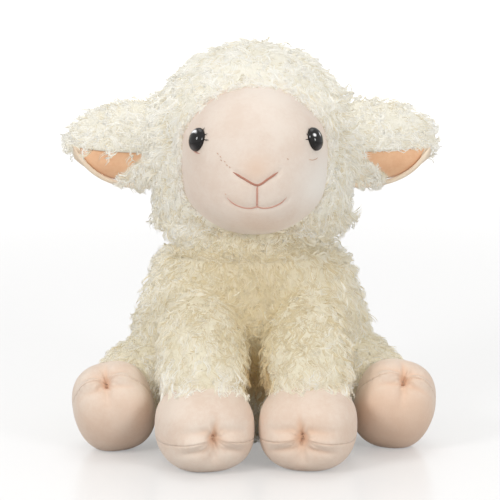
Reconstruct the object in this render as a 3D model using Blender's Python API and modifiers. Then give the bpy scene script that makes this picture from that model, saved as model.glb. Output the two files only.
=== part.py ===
"""A seated plush sheep, taken apart at its seams.

The outside is long-pile fleece on the body, head, legs, ears and tail, and short velour on the face
and the four feet. Inside are the fibre fillings, a bag of pellets in the seat and the washers that
hold the plastic eyes. Every stuffed form is a ball that is pulled into shape, so it swells and tapers.

Units are metres. +Z is up, the sheep faces -Y and sits on the plane z = 0, and X = 0 is its middle.
Fleece is drawn to the mean height of its pile.
"""

import math

import bmesh
import bpy
import numpy as np
from mathutils import Matrix, Vector
from mathutils.bvhtree import BVHTree

# Cloth, thread and the gaps between sewn pieces
FLEECE_THICKNESS = 0.009
VELOUR_THICKNESS = 0.0016
THREAD_RADIUS = 0.0006
SEAM_GAP = 0.0003
SWING_GAP = 0.0008
THREAD_SLOPE_SHARE = 0.5
CUT_OVERRUN = 0.06

# Body: a pear that is flattened on the seat and open at the neck
BODY_HALF_WIDTH = 0.084
BODY_HALF_DEPTH = 0.056
BODY_SUNK = 0.018
BODY_CROWN_RISE = 0.022
# Each row: share of the height, then width, depth and backward lean as shares of the half sizes
BODY_SHARES = (
    (0.00, 1.27, 1.65, 0.28),
    (0.10, 1.15, 1.54, 0.29),
    (0.21, 1.03, 1.26, 0.32),
    (0.33, 1.00, 1.08, 0.31),
    (0.50, 1.03, 1.00, 0.21),
    (0.64, 0.99, 0.95, 0.05),
    (0.80, 0.99, 1.08, -0.04),
    (0.88, 1.03, 1.26, -0.04),
    (1.00, 1.03, 1.26, -0.04),
)

# Neck: the head turns and nods on a ball of firm filling
NECK_HEIGHT = 0.138
NECK_RADIUS = 0.042
SHOULDER_SLOPE = math.radians(3)
NAPE_SLOPE = math.radians(8)
BODY_HEIGHT = BODY_SUNK + NECK_HEIGHT + BODY_CROWN_RISE

# Head
HEAD_HALF_WIDTH = 0.069
HEAD_HALF_DEPTH = 0.060
HEAD_HEIGHT = 0.144
HEAD_DROP = 0.002
HEAD_FORWARD = 0.006
# Each row: share of the height, then width and depth as shares of the half sizes
HEAD_SHARES = (
    (0.00, 1.66, 1.50),
    (0.08, 1.58, 1.46),
    (0.16, 1.36, 1.26),
    (0.27, 1.15, 1.08),
    (0.50, 1.02, 1.01),
    (0.72, 1.04, 1.02),
    (0.86, 1.05, 1.02),
    (1.00, 1.04, 1.00),
)

# Face: a full velour dome that stands out of the fleece hood
FACE_HALF_WIDTH = 0.045
FACE_HALF_HEIGHT = 0.0505
FACE_HALF_DEPTH = 0.055
FACE_HEIGHT_SHARE = 0.448
FACE_FORWARD_SHARE = 0.585
FACE_TUCK = 0.006
FACE_FULLNESS = 2.25
FACE_END_SHARE = 0.16
FACE_BACK_SHARE = 0.36
FACE_STEP_SHARE = 0.01
# Each row: share of the height, then width as a share of the half width
FACE_SHARES = ((0.00, 1.00), (0.40, 1.00), (0.66, 1.11), (1.00, 1.22))

# Eyes: a domed button on a post, held behind the velour by a washer
EYE_RADIUS = 0.0076
EYE_DOME = 0.0046
EYE_POST_RADIUS = 0.0020
EYE_POST_LENGTH = 0.0110
EYE_ACROSS_SHARE = 0.845
EYE_UP_SHARE = 0.375
WASHER_RADIUS = 0.0065
WASHER_THICKNESS = 0.0012
WASHER_FIT = 0.0002
WASHER_STAND_OFF = 0.0030
EYE_POCKET_FIT = 0.0010

# Embroidery, as shares of the face's half width and half height, from its middle
NOSE_SHARES = ((-0.31, 0.06), (-0.16, -0.01), (0.0, -0.08), (0.16, -0.01), (0.31, 0.06))
LIP_SHARES = ((0.0, -0.125), (0.0, -0.24), (0.0, -0.36))
MOUTH_SHARES = (
    (-0.43, -0.28),
    (-0.34, -0.36),
    (-0.21, -0.415),
    (-0.09, -0.425),
    (0.0, -0.405),
    (0.09, -0.425),
    (0.21, -0.415),
    (0.34, -0.36),
    (0.43, -0.28),
)

# Ears: a cupped leaf, open towards the front and below
EAR_OUTWARD = 0.052
EAR_INWARD = 0.024
EAR_HALF_HEIGHT = 0.031
EAR_ROOT_GAIN_SHARE = 0.10
EAR_HALF_DEPTH = 0.0175
EAR_FLEECE = 0.0065
EAR_SET_SHARE = 1.13
EAR_HEIGHT_SHARE = 0.503
EAR_FORWARD = 0.003
EAR_FULLNESS = 2.05
EAR_OPEN_FROM = math.radians(-14)
EAR_OPEN_TO = math.radians(-78)
EAR_HINGE_INSET = 0.013
EAR_MOUTH_BACK = 0.0035
EAR_MOUTH_UP = 0.0025

# Forelegs: a ball in the shoulder, and a sleeve that hangs forward over the foot
FORELEG_ACROSS = 0.0355
SHOULDER_HEIGHT = 0.094
SHOULDER_DEPTH = 0.012
SHOULDER_RADIUS = 0.0195
FORELEG_RADIUS = 0.031
FORELEG_OVERLAP = 0.017
FORELEG_SHARES = ((0.00, 0.95), (0.30, 0.98), (0.65, 1.06), (1.00, 1.10))

# Hind legs: a ball in the hip, and a thigh that lies forward and outward along the floor
HIP_BACK = 0.014
HIP_HEIGHT = 0.042
HIP_DEPTH = 0.016
HIP_RADIUS = 0.0215
HIND_LEG_RADIUS = 0.0315
HIND_LEG_OVERLAP = 0.022
HIND_LEG_SHARES = ((0.00, 1.12), (0.35, 1.07), (0.70, 0.98), (1.00, 0.95))

# Feet: flat on the floor in front, tipped up behind. A foot's offsets run from its shoulder or hip
# outwards and forwards, and its ankle's from its middle outwards, back and up
FOREFOOT_OUTWARD = -0.001
FOREFOOT_FORWARD = 0.052
FOREFOOT_HALF_SIZES = (0.0325, 0.0340, 0.0285)
FOREFOOT_ANKLE = (0.0005, 0.009, 0.0185)
FOREFOOT_TURN = math.radians(-11)
HIND_FOOT_OUTWARD = 0.0325
HIND_FOOT_FORWARD = 0.059
HIND_FOOT_HALF_SIZES = (0.0275, 0.0330, 0.0265)
HIND_FOOT_RISE = 0.0060
HIND_FOOT_ANKLE = (-0.0085, 0.014, 0.0055)
HIND_FOOT_TIP = math.radians(50)
HIND_FOOT_SPLAY = math.radians(12)
SOLE_FLAT = 0.0020
FOOT_FULLNESS = 2.45
TOE_DIMPLE_DEPTH = 0.0060
TOE_DIMPLE_SPREAD_SHARE = 0.26
TOE_CLEFT_DEPTH = 0.0040
TOE_CLEFT_SPREAD_SHARE = 0.16
TOE_THREAD_HALF_LENGTH = 0.0030
TOE_THREAD_SHARES = (-1.0, -0.33, 0.33, 1.0)

# Tail
TAIL_HEIGHT = 0.050
TAIL_DEPTH = 0.004
TAIL_ROOT_RADIUS = 0.0085
TAIL_LENGTH = 0.044
TAIL_RADIUS = 0.0155
TAIL_FLEECE = 0.0060
TAIL_DIP = math.radians(35)
TAIL_OVERLAP = 0.004
TAIL_SHARES = ((0.00, 0.85), (0.40, 1.00), (0.75, 1.00), (1.00, 0.90))

# Bag of pellets that weighs the seat
BAG_HALF_WIDTH = 0.042
BAG_HALF_DEPTH = 0.034
BAG_HALF_HEIGHT = 0.013
BAG_BACK = 0.016

# How far each seam lets its piece swing, in degrees from rest
FORELEG_SWEEP = (0, -15, -30)
HIND_LEG_SWEEP = (0, 12, 25)
EAR_SWEEP = (-10, 3, 16)
TAIL_SWEEP = (0, 15, 30)

# Faces round and along the stuffed forms
BODY_FACETS = (16, 9)
HEAD_FACETS = (14, 9)
FACE_FACETS = (14, 9)
LIMB_FACETS = (10, 6)
FOOT_FACETS = (12, 7)
EAR_FACETS = (10, 7)
BALL_FACETS = (14, 6)
NECK_FACETS = (20, 12)
EYE_FACETS = (16, 8)
POST_SIDES = 10
POCKET_SIDES = 14
WASHER_SIDES = 16
TAIL_FACETS = (8, 5)
THREAD_STEPS = 3


# Scene, collections and materials


def clear_scene():
    for old in list(bpy.data.objects):
        bpy.data.objects.remove(old)
    for name in ("plush_sheep", "cutters"):
        bpy.context.scene.collection.children.link(bpy.data.collections.new(name))


def cloth(name, colour, roughness):
    """A plain cloth or plastic finish. The colour is in linear light."""
    made = bpy.data.materials.new(name)
    made.use_nodes = True
    shader = made.node_tree.nodes["Principled BSDF"]
    shader.inputs["Base Color"].default_value = (*colour, 1.0)
    shader.inputs["Roughness"].default_value = roughness
    shader.inputs["Metallic"].default_value = 0.0
    made.diffuse_color = (*colour, 1.0)
    return made


def joint(name, place):
    """An empty on a seam that its piece swings about."""
    made = bpy.data.objects.new(name, None)
    made.location = place
    made.empty_display_size = SHOULDER_RADIUS
    bpy.data.collections["plush_sheep"].objects.link(made)
    return made


def add(name, mesh, seam=None, finish=None):
    """A piece of the sheep. Its mesh comes in world places, and its origin is moved onto its seam."""
    made = bpy.data.objects.new(name, mesh)
    bpy.data.collections["plush_sheep"].objects.link(made)
    if seam is not None:
        mesh.transform(Matrix.Translation(-seam.location))
        made.parent = seam
    if finish is not None:
        mesh.materials.append(finish)
    return made


def cutter(name, mesh):
    """A helper shape that only cuts or joins, and is never a piece."""
    made = bpy.data.objects.new(name, mesh)
    bpy.data.collections["cutters"].objects.link(made)
    made.hide_render = True
    made.display_type = "WIRE"
    return made


# Modifiers


def grown(made, distance):
    """Moves every face outwards by a distance, or inwards by a negative one."""
    modifier = made.modifiers.new("grow", "DISPLACE")
    modifier.strength = distance
    modifier.mid_level = 0.0
    return made


def walled(made, thickness, outwards=0.0):
    """Gives an open surface a wall, which reaches inwards apart from the part named as outwards."""
    modifier = made.modifiers.new("wall", "SOLIDIFY")
    modifier.thickness = thickness
    modifier.offset = 2 * outwards / thickness - 1
    return made


def joined(made, other, operation="DIFFERENCE"):
    modifier = made.modifiers.new(operation.lower(), "BOOLEAN")
    modifier.operation = operation
    modifier.object = other
    modifier.solver = "EXACT"
    return made


# Forms


def shares_at(table, share):
    rows = np.array(table)
    return [float(np.interp(share, rows[:, 0], rows[:, column])) for column in range(1, rows.shape[1])]


def fuller(unit, fullness):
    """Pushes a unit ball towards a box: 2 leaves it round, more makes it fuller."""
    size = sum(abs(part) ** fullness for part in unit) ** (1 / fullness)
    return unit / size


def ball_form(shape, facets, pole="Z", opened=None):
    """A unit ball whose points are moved by shape(unit). Faces whose unit centre opened() picks are left out."""
    turn = {"Z": Matrix(), "Y": Matrix.Rotation(math.pi / 2, 4, "X"), "X": Matrix.Rotation(math.pi / 2, 4, "Y")}
    form = bmesh.new()
    bmesh.ops.create_uvsphere(form, u_segments=facets[0], v_segments=facets[1], radius=1, matrix=turn[pole])
    unit_centres = {face.index: face.calc_center_median() for face in form.faces}
    for point in form.verts:
        point.co = shape(point.co.copy())
    if opened is not None:
        gone = [face for face in form.faces if opened(unit_centres[face.index])]
        bmesh.ops.delete(form, geom=gone, context="FACES")
    bmesh.ops.triangulate(form, faces=form.faces[:])
    bmesh.ops.recalc_face_normals(form, faces=form.faces[:])
    if form.calc_volume(signed=True) < 0:
        bmesh.ops.reverse_faces(form, faces=form.faces[:])
    return form


def ball_mesh(name, shape, facets, pole="Z", opened=None):
    form = ball_form(shape, facets, pole, opened)
    mesh = bpy.data.meshes.new(name)
    form.to_mesh(mesh)
    form.free()
    mesh.shade_smooth()
    return mesh


def surface_of(shape, facets, pole="Z"):
    """The faceted surface of a form, to lay threads on."""
    form = ball_form(shape, facets, pole)
    tree = BVHTree.FromBMesh(form)
    form.free()
    return tree


def laid(surface, place, inward):
    """Where a thread's middle lies, when it comes down on a surface from in front of a place."""
    hit, normal, _, _ = surface.ray_cast(place - CUT_OVERRUN * inward, inward)
    return hit - inward * (THREAD_RADIUS + SEAM_GAP) / max(THREAD_SLOPE_SHARE, -normal.dot(inward))


def ball(name, centre, radius, facets=BALL_FACETS, pole="Z"):
    return ball_mesh(name, lambda unit: Vector(centre) + radius * unit, facets, pole)


def seat_radius(radius, facets, both_ways=False):
    """The radius of a faceted seat whose faces clear a faceted ball that turns about its pole, or both ways."""
    inner = math.cos(math.pi / facets[0])
    if both_ways:
        inner *= math.cos(math.pi / (2 * facets[1]))
    return (radius + SEAM_GAP) / inner


def rod_mesh(name, start, end, radius, sides):
    """A straight round rod between two points."""
    start, end = Vector(start), Vector(end)
    form = bmesh.new()
    bmesh.ops.create_cone(
        form, cap_ends=True, segments=sides, radius1=radius, radius2=radius, depth=(end - start).length
    )
    turn = (end - start).to_track_quat("Z", "Y").to_matrix().to_4x4()
    bmesh.ops.transform(form, matrix=Matrix.Translation((start + end) / 2) @ turn, verts=form.verts[:])
    mesh = bpy.data.meshes.new(name)
    form.to_mesh(mesh)
    form.free()
    mesh.shade_smooth()
    mesh.set_sharp_from_angle(angle=math.radians(40))
    return mesh


def thread(name, points, seam, finish):
    """A stitched thread: a bevelled curve through points that lie on the cloth."""
    line = bpy.data.curves.new(name, "CURVE")
    line.dimensions = "3D"
    line.bevel_depth = THREAD_RADIUS
    line.bevel_resolution = 1
    line.use_fill_caps = True
    spline = line.splines.new("POLY")
    spline.points.add(len(points) - 1)
    for knot, place in zip(spline.points, points):
        knot.co = (*(place - seam.location), 1)
    line.materials.append(finish)
    made = bpy.data.objects.new(name, line)
    bpy.data.collections["plush_sheep"].objects.link(made)
    made.parent = seam
    return made


# Body


def body_point(unit):
    share = (1 + unit.z) / 2
    width, depth, lean = shares_at(BODY_SHARES, share)
    x = BODY_HALF_WIDTH * width * unit.x
    y = BODY_HALF_DEPTH * (lean + depth * unit.y)
    z = share * BODY_HEIGHT - BODY_SUNK
    shoulder = NECK_HEIGHT - math.hypot(x, y) * math.tan(SHOULDER_SLOPE)
    return Vector((x, y, min(max(z, 0.0), shoulder)))


def body_surface(height, across_share, facing):
    """The point of the body's surface at a height, where facing is -1 at the front and 1 at the back."""
    share = (height + BODY_SUNK) / BODY_HEIGHT
    ring = math.sqrt(1 - (2 * share - 1) ** 2)
    unit = Vector((ring * across_share, facing * ring * math.sqrt(1 - across_share**2), 2 * share - 1))
    return body_point(unit)


def across_share_of(height, across):
    """Which share of the body's half width at that height lies at a distance across."""
    share = (height + BODY_SUNK) / BODY_HEIGHT
    ring = math.sqrt(1 - (2 * share - 1) ** 2)
    return across / (BODY_HALF_WIDTH * shares_at(BODY_SHARES, share)[0] * ring)


def shoulder_place(side):
    front = body_surface(SHOULDER_HEIGHT, across_share_of(SHOULDER_HEIGHT, FORELEG_ACROSS), -1)
    return Vector((side * FORELEG_ACROSS, front.y + SHOULDER_DEPTH, SHOULDER_HEIGHT))


def hip_place(side):
    widest = body_surface(HIP_HEIGHT, 1.0, 1)
    return Vector((side * (widest.x - HIP_DEPTH), HIP_BACK, HIP_HEIGHT))


def tail_place():
    back = body_surface(TAIL_HEIGHT, 0.0, 1)
    return Vector((0.0, back.y - TAIL_DEPTH, TAIL_HEIGHT))


def build_body(finishes):
    skin = add("body_skin", ball_mesh("body_skin", body_point, BODY_FACETS, opened=lambda unit: unit.z > 0.96))
    skin.data.materials.append(finishes["fleece"])
    walled(skin, FLEECE_THICKNESS)
    filling = add("body_filling", ball_mesh("body_filling", body_point, BODY_FACETS))
    filling.data.materials.append(finishes["fibre"])
    grown(filling, -(FLEECE_THICKNESS + SEAM_GAP))

    seats = [
        ("neck_seat", neck_place(), NECK_RADIUS, NECK_FACETS, "Z"),
        ("tail_seat", tail_place(), TAIL_ROOT_RADIUS, BALL_FACETS, "X"),
    ]
    for side, word in SIDES:
        seats.append((f"shoulder_seat_{word}", shoulder_place(side), SHOULDER_RADIUS, BALL_FACETS, "X"))
        seats.append((f"hip_seat_{word}", hip_place(side), HIP_RADIUS, BALL_FACETS, "Z"))
    for name, place, radius, facets, pole in seats:
        seat = cutter(name, ball(name, place, seat_radius(radius, facets), facets, pole))
        joined(skin, seat)
        joined(filling, seat)

    bag = add("seat_pellet_bag", ball_mesh("seat_pellet_bag", bag_point, LIMB_FACETS))
    bag.data.materials.append(finishes["bag"])
    pocket = grown(cutter("bag_pocket", ball_mesh("bag_pocket", bag_point, LIMB_FACETS)), 2 * SEAM_GAP)
    joined(filling, pocket)


def bag_point(unit):
    floor = FLEECE_THICKNESS + SEAM_GAP
    x = BAG_HALF_WIDTH * unit.x
    y = BAG_BACK + BAG_HALF_DEPTH * unit.y
    z = floor + BAG_HALF_HEIGHT * (1 + 2 * unit.z)
    return Vector((x, y, max(z, floor)))


def body_sweep(name, place, axis, angles):
    """Copies of the body, turned back about a seam, that clear a piece's way at each angle."""
    made = []
    for number, angle in enumerate(angles):
        obstacle = grown(cutter(f"{name}_{number}", ball_mesh(name, body_point, BODY_FACETS)), SWING_GAP)
        turn = Matrix.Rotation(math.radians(-angle), 4, axis)
        obstacle.matrix_world = Matrix.Translation(place) @ turn @ Matrix.Translation(-place)
        made.append(obstacle)
    return made


# Neck, head and face


def neck_place():
    return Vector((0.0, 0.0, NECK_HEIGHT))


def head_point(unit):
    share = (1 + unit.z) / 2
    width, depth = shares_at(HEAD_SHARES, share)
    x = HEAD_HALF_WIDTH * width * unit.x
    y = HEAD_HALF_DEPTH * depth * unit.y - HEAD_FORWARD
    z = NECK_HEIGHT - HEAD_DROP + share * HEAD_HEIGHT
    nape = NECK_HEIGHT + math.hypot(x, y) * math.tan(NAPE_SLOPE)
    return Vector((x, y, max(z, nape)))


def head_place(height_share, forward):
    """A point on the head's middle plane, at a share of its height and a distance ahead of its axis."""
    return Vector((0.0, -HEAD_FORWARD - forward, NECK_HEIGHT - HEAD_DROP + height_share * HEAD_HEIGHT))


def face_centre():
    return head_place(FACE_HEIGHT_SHARE, FACE_FORWARD_SHARE * HEAD_HALF_DEPTH)


def face_point(unit):
    full = fuller(unit, FACE_FULLNESS)
    share = (1 + full.z) / 2
    width = shares_at(FACE_SHARES, share)[0]
    forward = max(0.0, -full.y)
    tuck = FACE_TUCK * forward**2 * (1 - full.z**2)
    local = Vector((FACE_HALF_WIDTH * width * full.x, FACE_HALF_DEPTH * full.y, FACE_HALF_HEIGHT * full.z - tuck))
    return face_centre() + local


def face_unit(across_share, up_share):
    """The direction whose point on the face lies at these shares of its half sizes."""
    unit = Vector((across_share, -1.0, up_share))
    for _ in range(40):
        unit.normalize()
        full = fuller(unit, FACE_FULLNESS)
        width = shares_at(FACE_SHARES, (1 + full.z) / 2)[0]
        unit = full + Vector((across_share - width * full.x, 0.0, up_share - full.z))
    return unit.normalized()


def face_frame(across_share, up_share):
    """(point, outward normal) of the face at shares of its half sizes."""
    unit = face_unit(across_share, up_share)
    side = unit.cross(Vector((0.0, 0.0, 1.0))).normalized()
    rise = side.cross(unit)
    point = face_point(unit)
    side, rise = FACE_STEP_SHARE * side, FACE_STEP_SHARE * rise
    along = face_point((unit + side).normalized()) - face_point((unit - side).normalized())
    up = face_point((unit + rise).normalized()) - face_point((unit - rise).normalized())
    normal = along.cross(up).normalized()
    return point, normal if normal.dot(unit) > 0 else -normal


def build_neck(finishes):
    seam = joint("neck_turn", neck_place())
    add("neck_filling", ball("neck_filling", neck_place(), NECK_RADIUS, NECK_FACETS), seam, finishes["fibre"])
    nod = joint("head_nod", neck_place())
    return nod


def build_head(nod, finishes):
    skin = add("head_skin", ball_mesh("head_skin", head_point, HEAD_FACETS, opened=lambda unit: unit.z < -0.96))
    place_on(skin, nod, finishes["fleece"])
    walled(skin, FLEECE_THICKNESS)
    filling = add("head_filling", ball_mesh("head_filling", head_point, HEAD_FACETS))
    place_on(filling, nod, finishes["fibre"])
    grown(filling, -(FLEECE_THICKNESS + SEAM_GAP))

    opening = grown(cutter("face_opening", ball_mesh("face_opening", face_point, FACE_FACETS, "Y")), SEAM_GAP)
    joined(skin, opening)
    nape_radius = seat_radius(NECK_RADIUS, NECK_FACETS, both_ways=True)
    seat = cutter("nape_seat", ball("nape_seat", neck_place(), nape_radius, NECK_FACETS, "X"))
    joined(skin, seat)

    snout = cutter("snout_filling", ball_mesh("snout_filling", face_point, FACE_FACETS, "Y"))
    grown(snout, -(VELOUR_THICKNESS + 2 * SEAM_GAP))
    joined(filling, face_socket())
    joined(filling, snout, "UNION")
    joined(filling, seat)

    panel = add("face_panel", ball_mesh("face_panel", face_point, FACE_FACETS, "Y", opened=behind_face))
    place_on(panel, nod, finishes["velour"])
    walled(panel, VELOUR_THICKNESS)
    joined(panel, seat)
    for side, word in SIDES:
        build_eye(side, word, nod, panel, filling, finishes)

    cloth_surface = surface_of(face_point, FACE_FACETS, "Y")
    for name, shares in (("nose_thread", NOSE_SHARES), ("lip_thread", LIP_SHARES), ("mouth_thread", MOUTH_SHARES)):
        frames = [face_frame(across, up) for across, up in between(shares)]
        places = [laid(cloth_surface, point, -normal) for point, normal in frames]
        thread(name, places, nod, finishes["thread"])


def between(shares):
    """The given pairs of shares, with the same number of steps drawn between each two."""
    rows = np.array(shares)
    knots = np.arange(len(rows))
    steps = np.linspace(0, len(rows) - 1, (len(rows) - 1) * THREAD_STEPS + 1)
    return list(zip(np.interp(steps, knots, rows[:, 0]), np.interp(steps, knots, rows[:, 1])))


def behind_face(unit):
    return unit.y > FACE_END_SHARE


def face_socket():
    """The room that the face takes up in the head's filling, closed by a flat back just behind its edge."""
    socket = cutter("face_socket", ball_mesh("face_socket", face_point, FACE_FACETS, "Y"))
    grown(socket, SEAM_GAP)
    form = bmesh.new()
    bmesh.ops.create_cube(form, size=2 * CUT_OVERRUN)
    behind = Vector((0.0, FACE_HALF_DEPTH * FACE_BACK_SHARE + CUT_OVERRUN, 0.0))
    bmesh.ops.translate(form, verts=form.verts[:], vec=face_centre() + behind)
    mesh = bpy.data.meshes.new("face_back")
    form.to_mesh(mesh)
    form.free()
    joined(socket, cutter("face_back", mesh))
    return socket


def place_on(made, seam, finish):
    """Moves a piece's origin onto its seam and gives it its finish."""
    made.data.transform(Matrix.Translation(-seam.location))
    made.parent = seam
    made.data.materials.append(finish)


def build_eye(side, word, nod, panel, filling, finishes):
    point, outward = face_frame(side * EYE_ACROSS_SHARE, EYE_UP_SHARE)
    base = point + 2 * SEAM_GAP * outward
    turn = outward.to_track_quat("Z", "Y").to_matrix()

    def button_point(unit):
        local = Vector((EYE_RADIUS * unit.x, EYE_RADIUS * unit.y, max(0.0, EYE_DOME * unit.z)))
        return base + turn @ local

    eye = add(f"eye_{word}", ball_mesh(f"eye_{word}", button_point, EYE_FACETS), nod, finishes["eye"])
    post_end = base - EYE_POST_LENGTH * outward
    post_start = base + EYE_DOME / 2 * outward
    post = cutter(f"eye_post_{word}", rod_mesh("eye_post", post_start, post_end, EYE_POST_RADIUS, POST_SIDES))
    joined(eye, post, "UNION")

    hole = cutter(
        f"eye_hole_{word}",
        rod_mesh("eye_hole", base + CUT_OVERRUN / 4 * outward, post_end, EYE_POST_RADIUS + WASHER_FIT, POST_SIDES),
    )
    joined(panel, hole)
    pocket_radius = WASHER_RADIUS + EYE_POCKET_FIT
    pocket = cutter(
        f"eye_pocket_{word}",
        rod_mesh("eye_pocket", base + EYE_DOME * outward, post_end - EYE_POCKET_FIT * outward, pocket_radius, POCKET_SIDES),
    )
    joined(filling, pocket)

    behind = point - (VELOUR_THICKNESS + WASHER_STAND_OFF) * outward
    washer = add(
        f"eye_washer_{word}",
        rod_mesh("eye_washer", behind, behind - WASHER_THICKNESS * outward, WASHER_RADIUS, WASHER_SIDES),
        nod,
        finishes["washer"],
    )
    joined(washer, hole)


# Ears


def ear_centre(side):
    across = Vector((side * EAR_SET_SHARE * HEAD_HALF_WIDTH, 0.0, 0.0))
    return head_place(EAR_HEIGHT_SHARE, EAR_FORWARD) + across


def ear_shape(side, inset):
    """The ear's closed form, made smaller all round by an inset."""

    def point(unit):
        full = fuller(unit, EAR_FULLNESS)
        reach = EAR_OUTWARD if full.x > 0 else EAR_INWARD
        x = side * (reach - inset) * full.x
        height = (EAR_HALF_HEIGHT - inset) * (1 - EAR_ROOT_GAIN_SHARE * full.x)
        return ear_centre(side) + Vector((x, (EAR_HALF_DEPTH - inset) * full.y, height * full.z))

    return point


def ear_mouth(name, side):
    """The wedge that opens the ear: a fan round its length, from its front down to just before its lowest edge."""
    form = bmesh.new()
    reach = CUT_OVERRUN
    angles = (EAR_OPEN_FROM, (EAR_OPEN_FROM + EAR_OPEN_TO) / 2, EAR_OPEN_TO)
    centre = ear_centre(side) + Vector((0.0, EAR_MOUTH_BACK, EAR_MOUTH_UP))
    rim = [centre + Vector((-reach, 0.0, 0.0))]
    rim += [
        centre + Vector((-reach, -reach * math.cos(angle), reach * math.sin(angle)))
        for angle in angles
    ]
    points = [form.verts.new(place) for place in rim]
    flat = form.faces.new(points)
    swept = bmesh.ops.extrude_face_region(form, geom=[flat])["geom"]
    moved = [item for item in swept if isinstance(item, bmesh.types.BMVert)]
    bmesh.ops.translate(form, verts=moved, vec=(2 * reach, 0.0, 0.0))
    bmesh.ops.recalc_face_normals(form, faces=form.faces[:])
    mesh = bpy.data.meshes.new(name)
    form.to_mesh(mesh)
    form.free()
    return mesh


def build_ear(side, word, nod, finishes):
    centre = ear_centre(side)
    hinge = Vector((centre.x - side * EAR_HINGE_INSET, centre.y, centre.z))
    seam = joint(f"ear_{word}_flap", hinge)
    mouth = cutter(f"ear_mouth_{word}", ear_mouth("ear_mouth", side))
    lining_inset = EAR_FLEECE + SEAM_GAP
    layers = (
        (f"ear_back_{word}", 0.0, EAR_FLEECE, finishes["fleece"]),
        (f"ear_lining_{word}", lining_inset, lining_inset + VELOUR_THICKNESS, finishes["lining"]),
    )
    for name, outer, inner, finish in layers:
        piece = add(name, ball_mesh(name, ear_shape(side, outer), EAR_FACETS, "X"), seam, finish)
        hollow = cutter(f"{name}_hollow", ball_mesh(name, ear_shape(side, inner), EAR_FACETS, "X"))
        joined(piece, hollow)
        joined(piece, mouth)
        for number, angle in enumerate(EAR_SWEEP):
            obstacle = grown(cutter(f"{name}_sweep_{number}", ball_mesh(name, head_point, HEAD_FACETS)), SWING_GAP)
            turn = Matrix.Rotation(math.radians(-angle * side), 4, "Y")
            obstacle.matrix_world = Matrix.Translation(hinge) @ turn @ Matrix.Translation(-hinge)
            joined(piece, obstacle)
    return seam


# Legs and feet


def limb_shape(start, end, radius, overlap, table):
    """A tapering form about the line from start to end, which it passes by an overlap at both ends."""
    along = (end - start).normalized()
    turn = along.to_track_quat("Z", "X").to_matrix()
    middle = (start + end) / 2
    half_length = (end - start).length / 2 + overlap

    def point(unit):
        full = fuller(unit, FOOT_FULLNESS)
        width = radius * shares_at(table, (1 + full.z) / 2)[0]
        place = middle + turn @ Vector((width * full.x, width * full.y, half_length * full.z))
        return Vector((place.x, place.y, max(place.z, 0.0)))

    return point


def foot_turn(tip, splay, yaw):
    """The left foot's turn from a toe that points along -Y: tipped up, leaned outwards, then turned about Z."""
    return Matrix.Rotation(yaw, 3, "Z") @ Matrix.Rotation(splay, 3, "Y") @ Matrix.Rotation(-tip, 3, "X")


def foot_centre(root, side, outward, forward, height):
    """The middle of a foot that lies at these distances from its shoulder or hip."""
    return Vector((side * root.x + outward, root.y - forward, height))


def foot_shape(centre, half_sizes, turn, side):
    """A foot with a dimple and a cleft in its toe. Its centre is the left foot's."""
    half_width, half_length, half_height = half_sizes

    def point(unit):
        full = fuller(unit, FOOT_FULLNESS)
        front = max(0.0, -unit.y)
        off_toe = math.hypot(unit.x, unit.z)
        dimple = TOE_DIMPLE_DEPTH * math.exp(-((off_toe / TOE_DIMPLE_SPREAD_SHARE) ** 2)) * front
        cleft = TOE_CLEFT_DEPTH * math.exp(-((unit.x / TOE_CLEFT_SPREAD_SHARE) ** 2)) * front**2
        local = Vector((half_width * full.x, half_length * full.y, half_height * full.z))
        local -= (dimple + cleft) * unit
        place = centre + turn @ local
        return Vector((side * place.x, place.y, max(place.z, 0.0)))

    return point


def foot_axes(centre, turn, side):
    """(centre, toe direction, up direction) of a foot."""
    flip = Matrix.Diagonal((side, 1, 1))
    return flip @ centre, flip @ turn @ Vector((0.0, -1.0, 0.0)), flip @ turn @ Vector((0.0, 0.0, 1.0))


def halved(name, centre, normal, above):
    """A box that removes one side of the seam plane through centre, and leaves half a seam gap."""
    sign = 1 if above else -1
    form = bmesh.new()
    bmesh.ops.create_cube(form, size=2 * CUT_OVERRUN)
    turn = (sign * normal).to_track_quat("Z", "X").to_matrix().to_4x4()
    place = centre + sign * normal * (CUT_OVERRUN - SEAM_GAP / 2)
    bmesh.ops.transform(form, matrix=Matrix.Translation(place) @ turn, verts=form.verts[:])
    mesh = bpy.data.meshes.new(name)
    form.to_mesh(mesh)
    form.free()
    return cutter(name, mesh)


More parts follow.
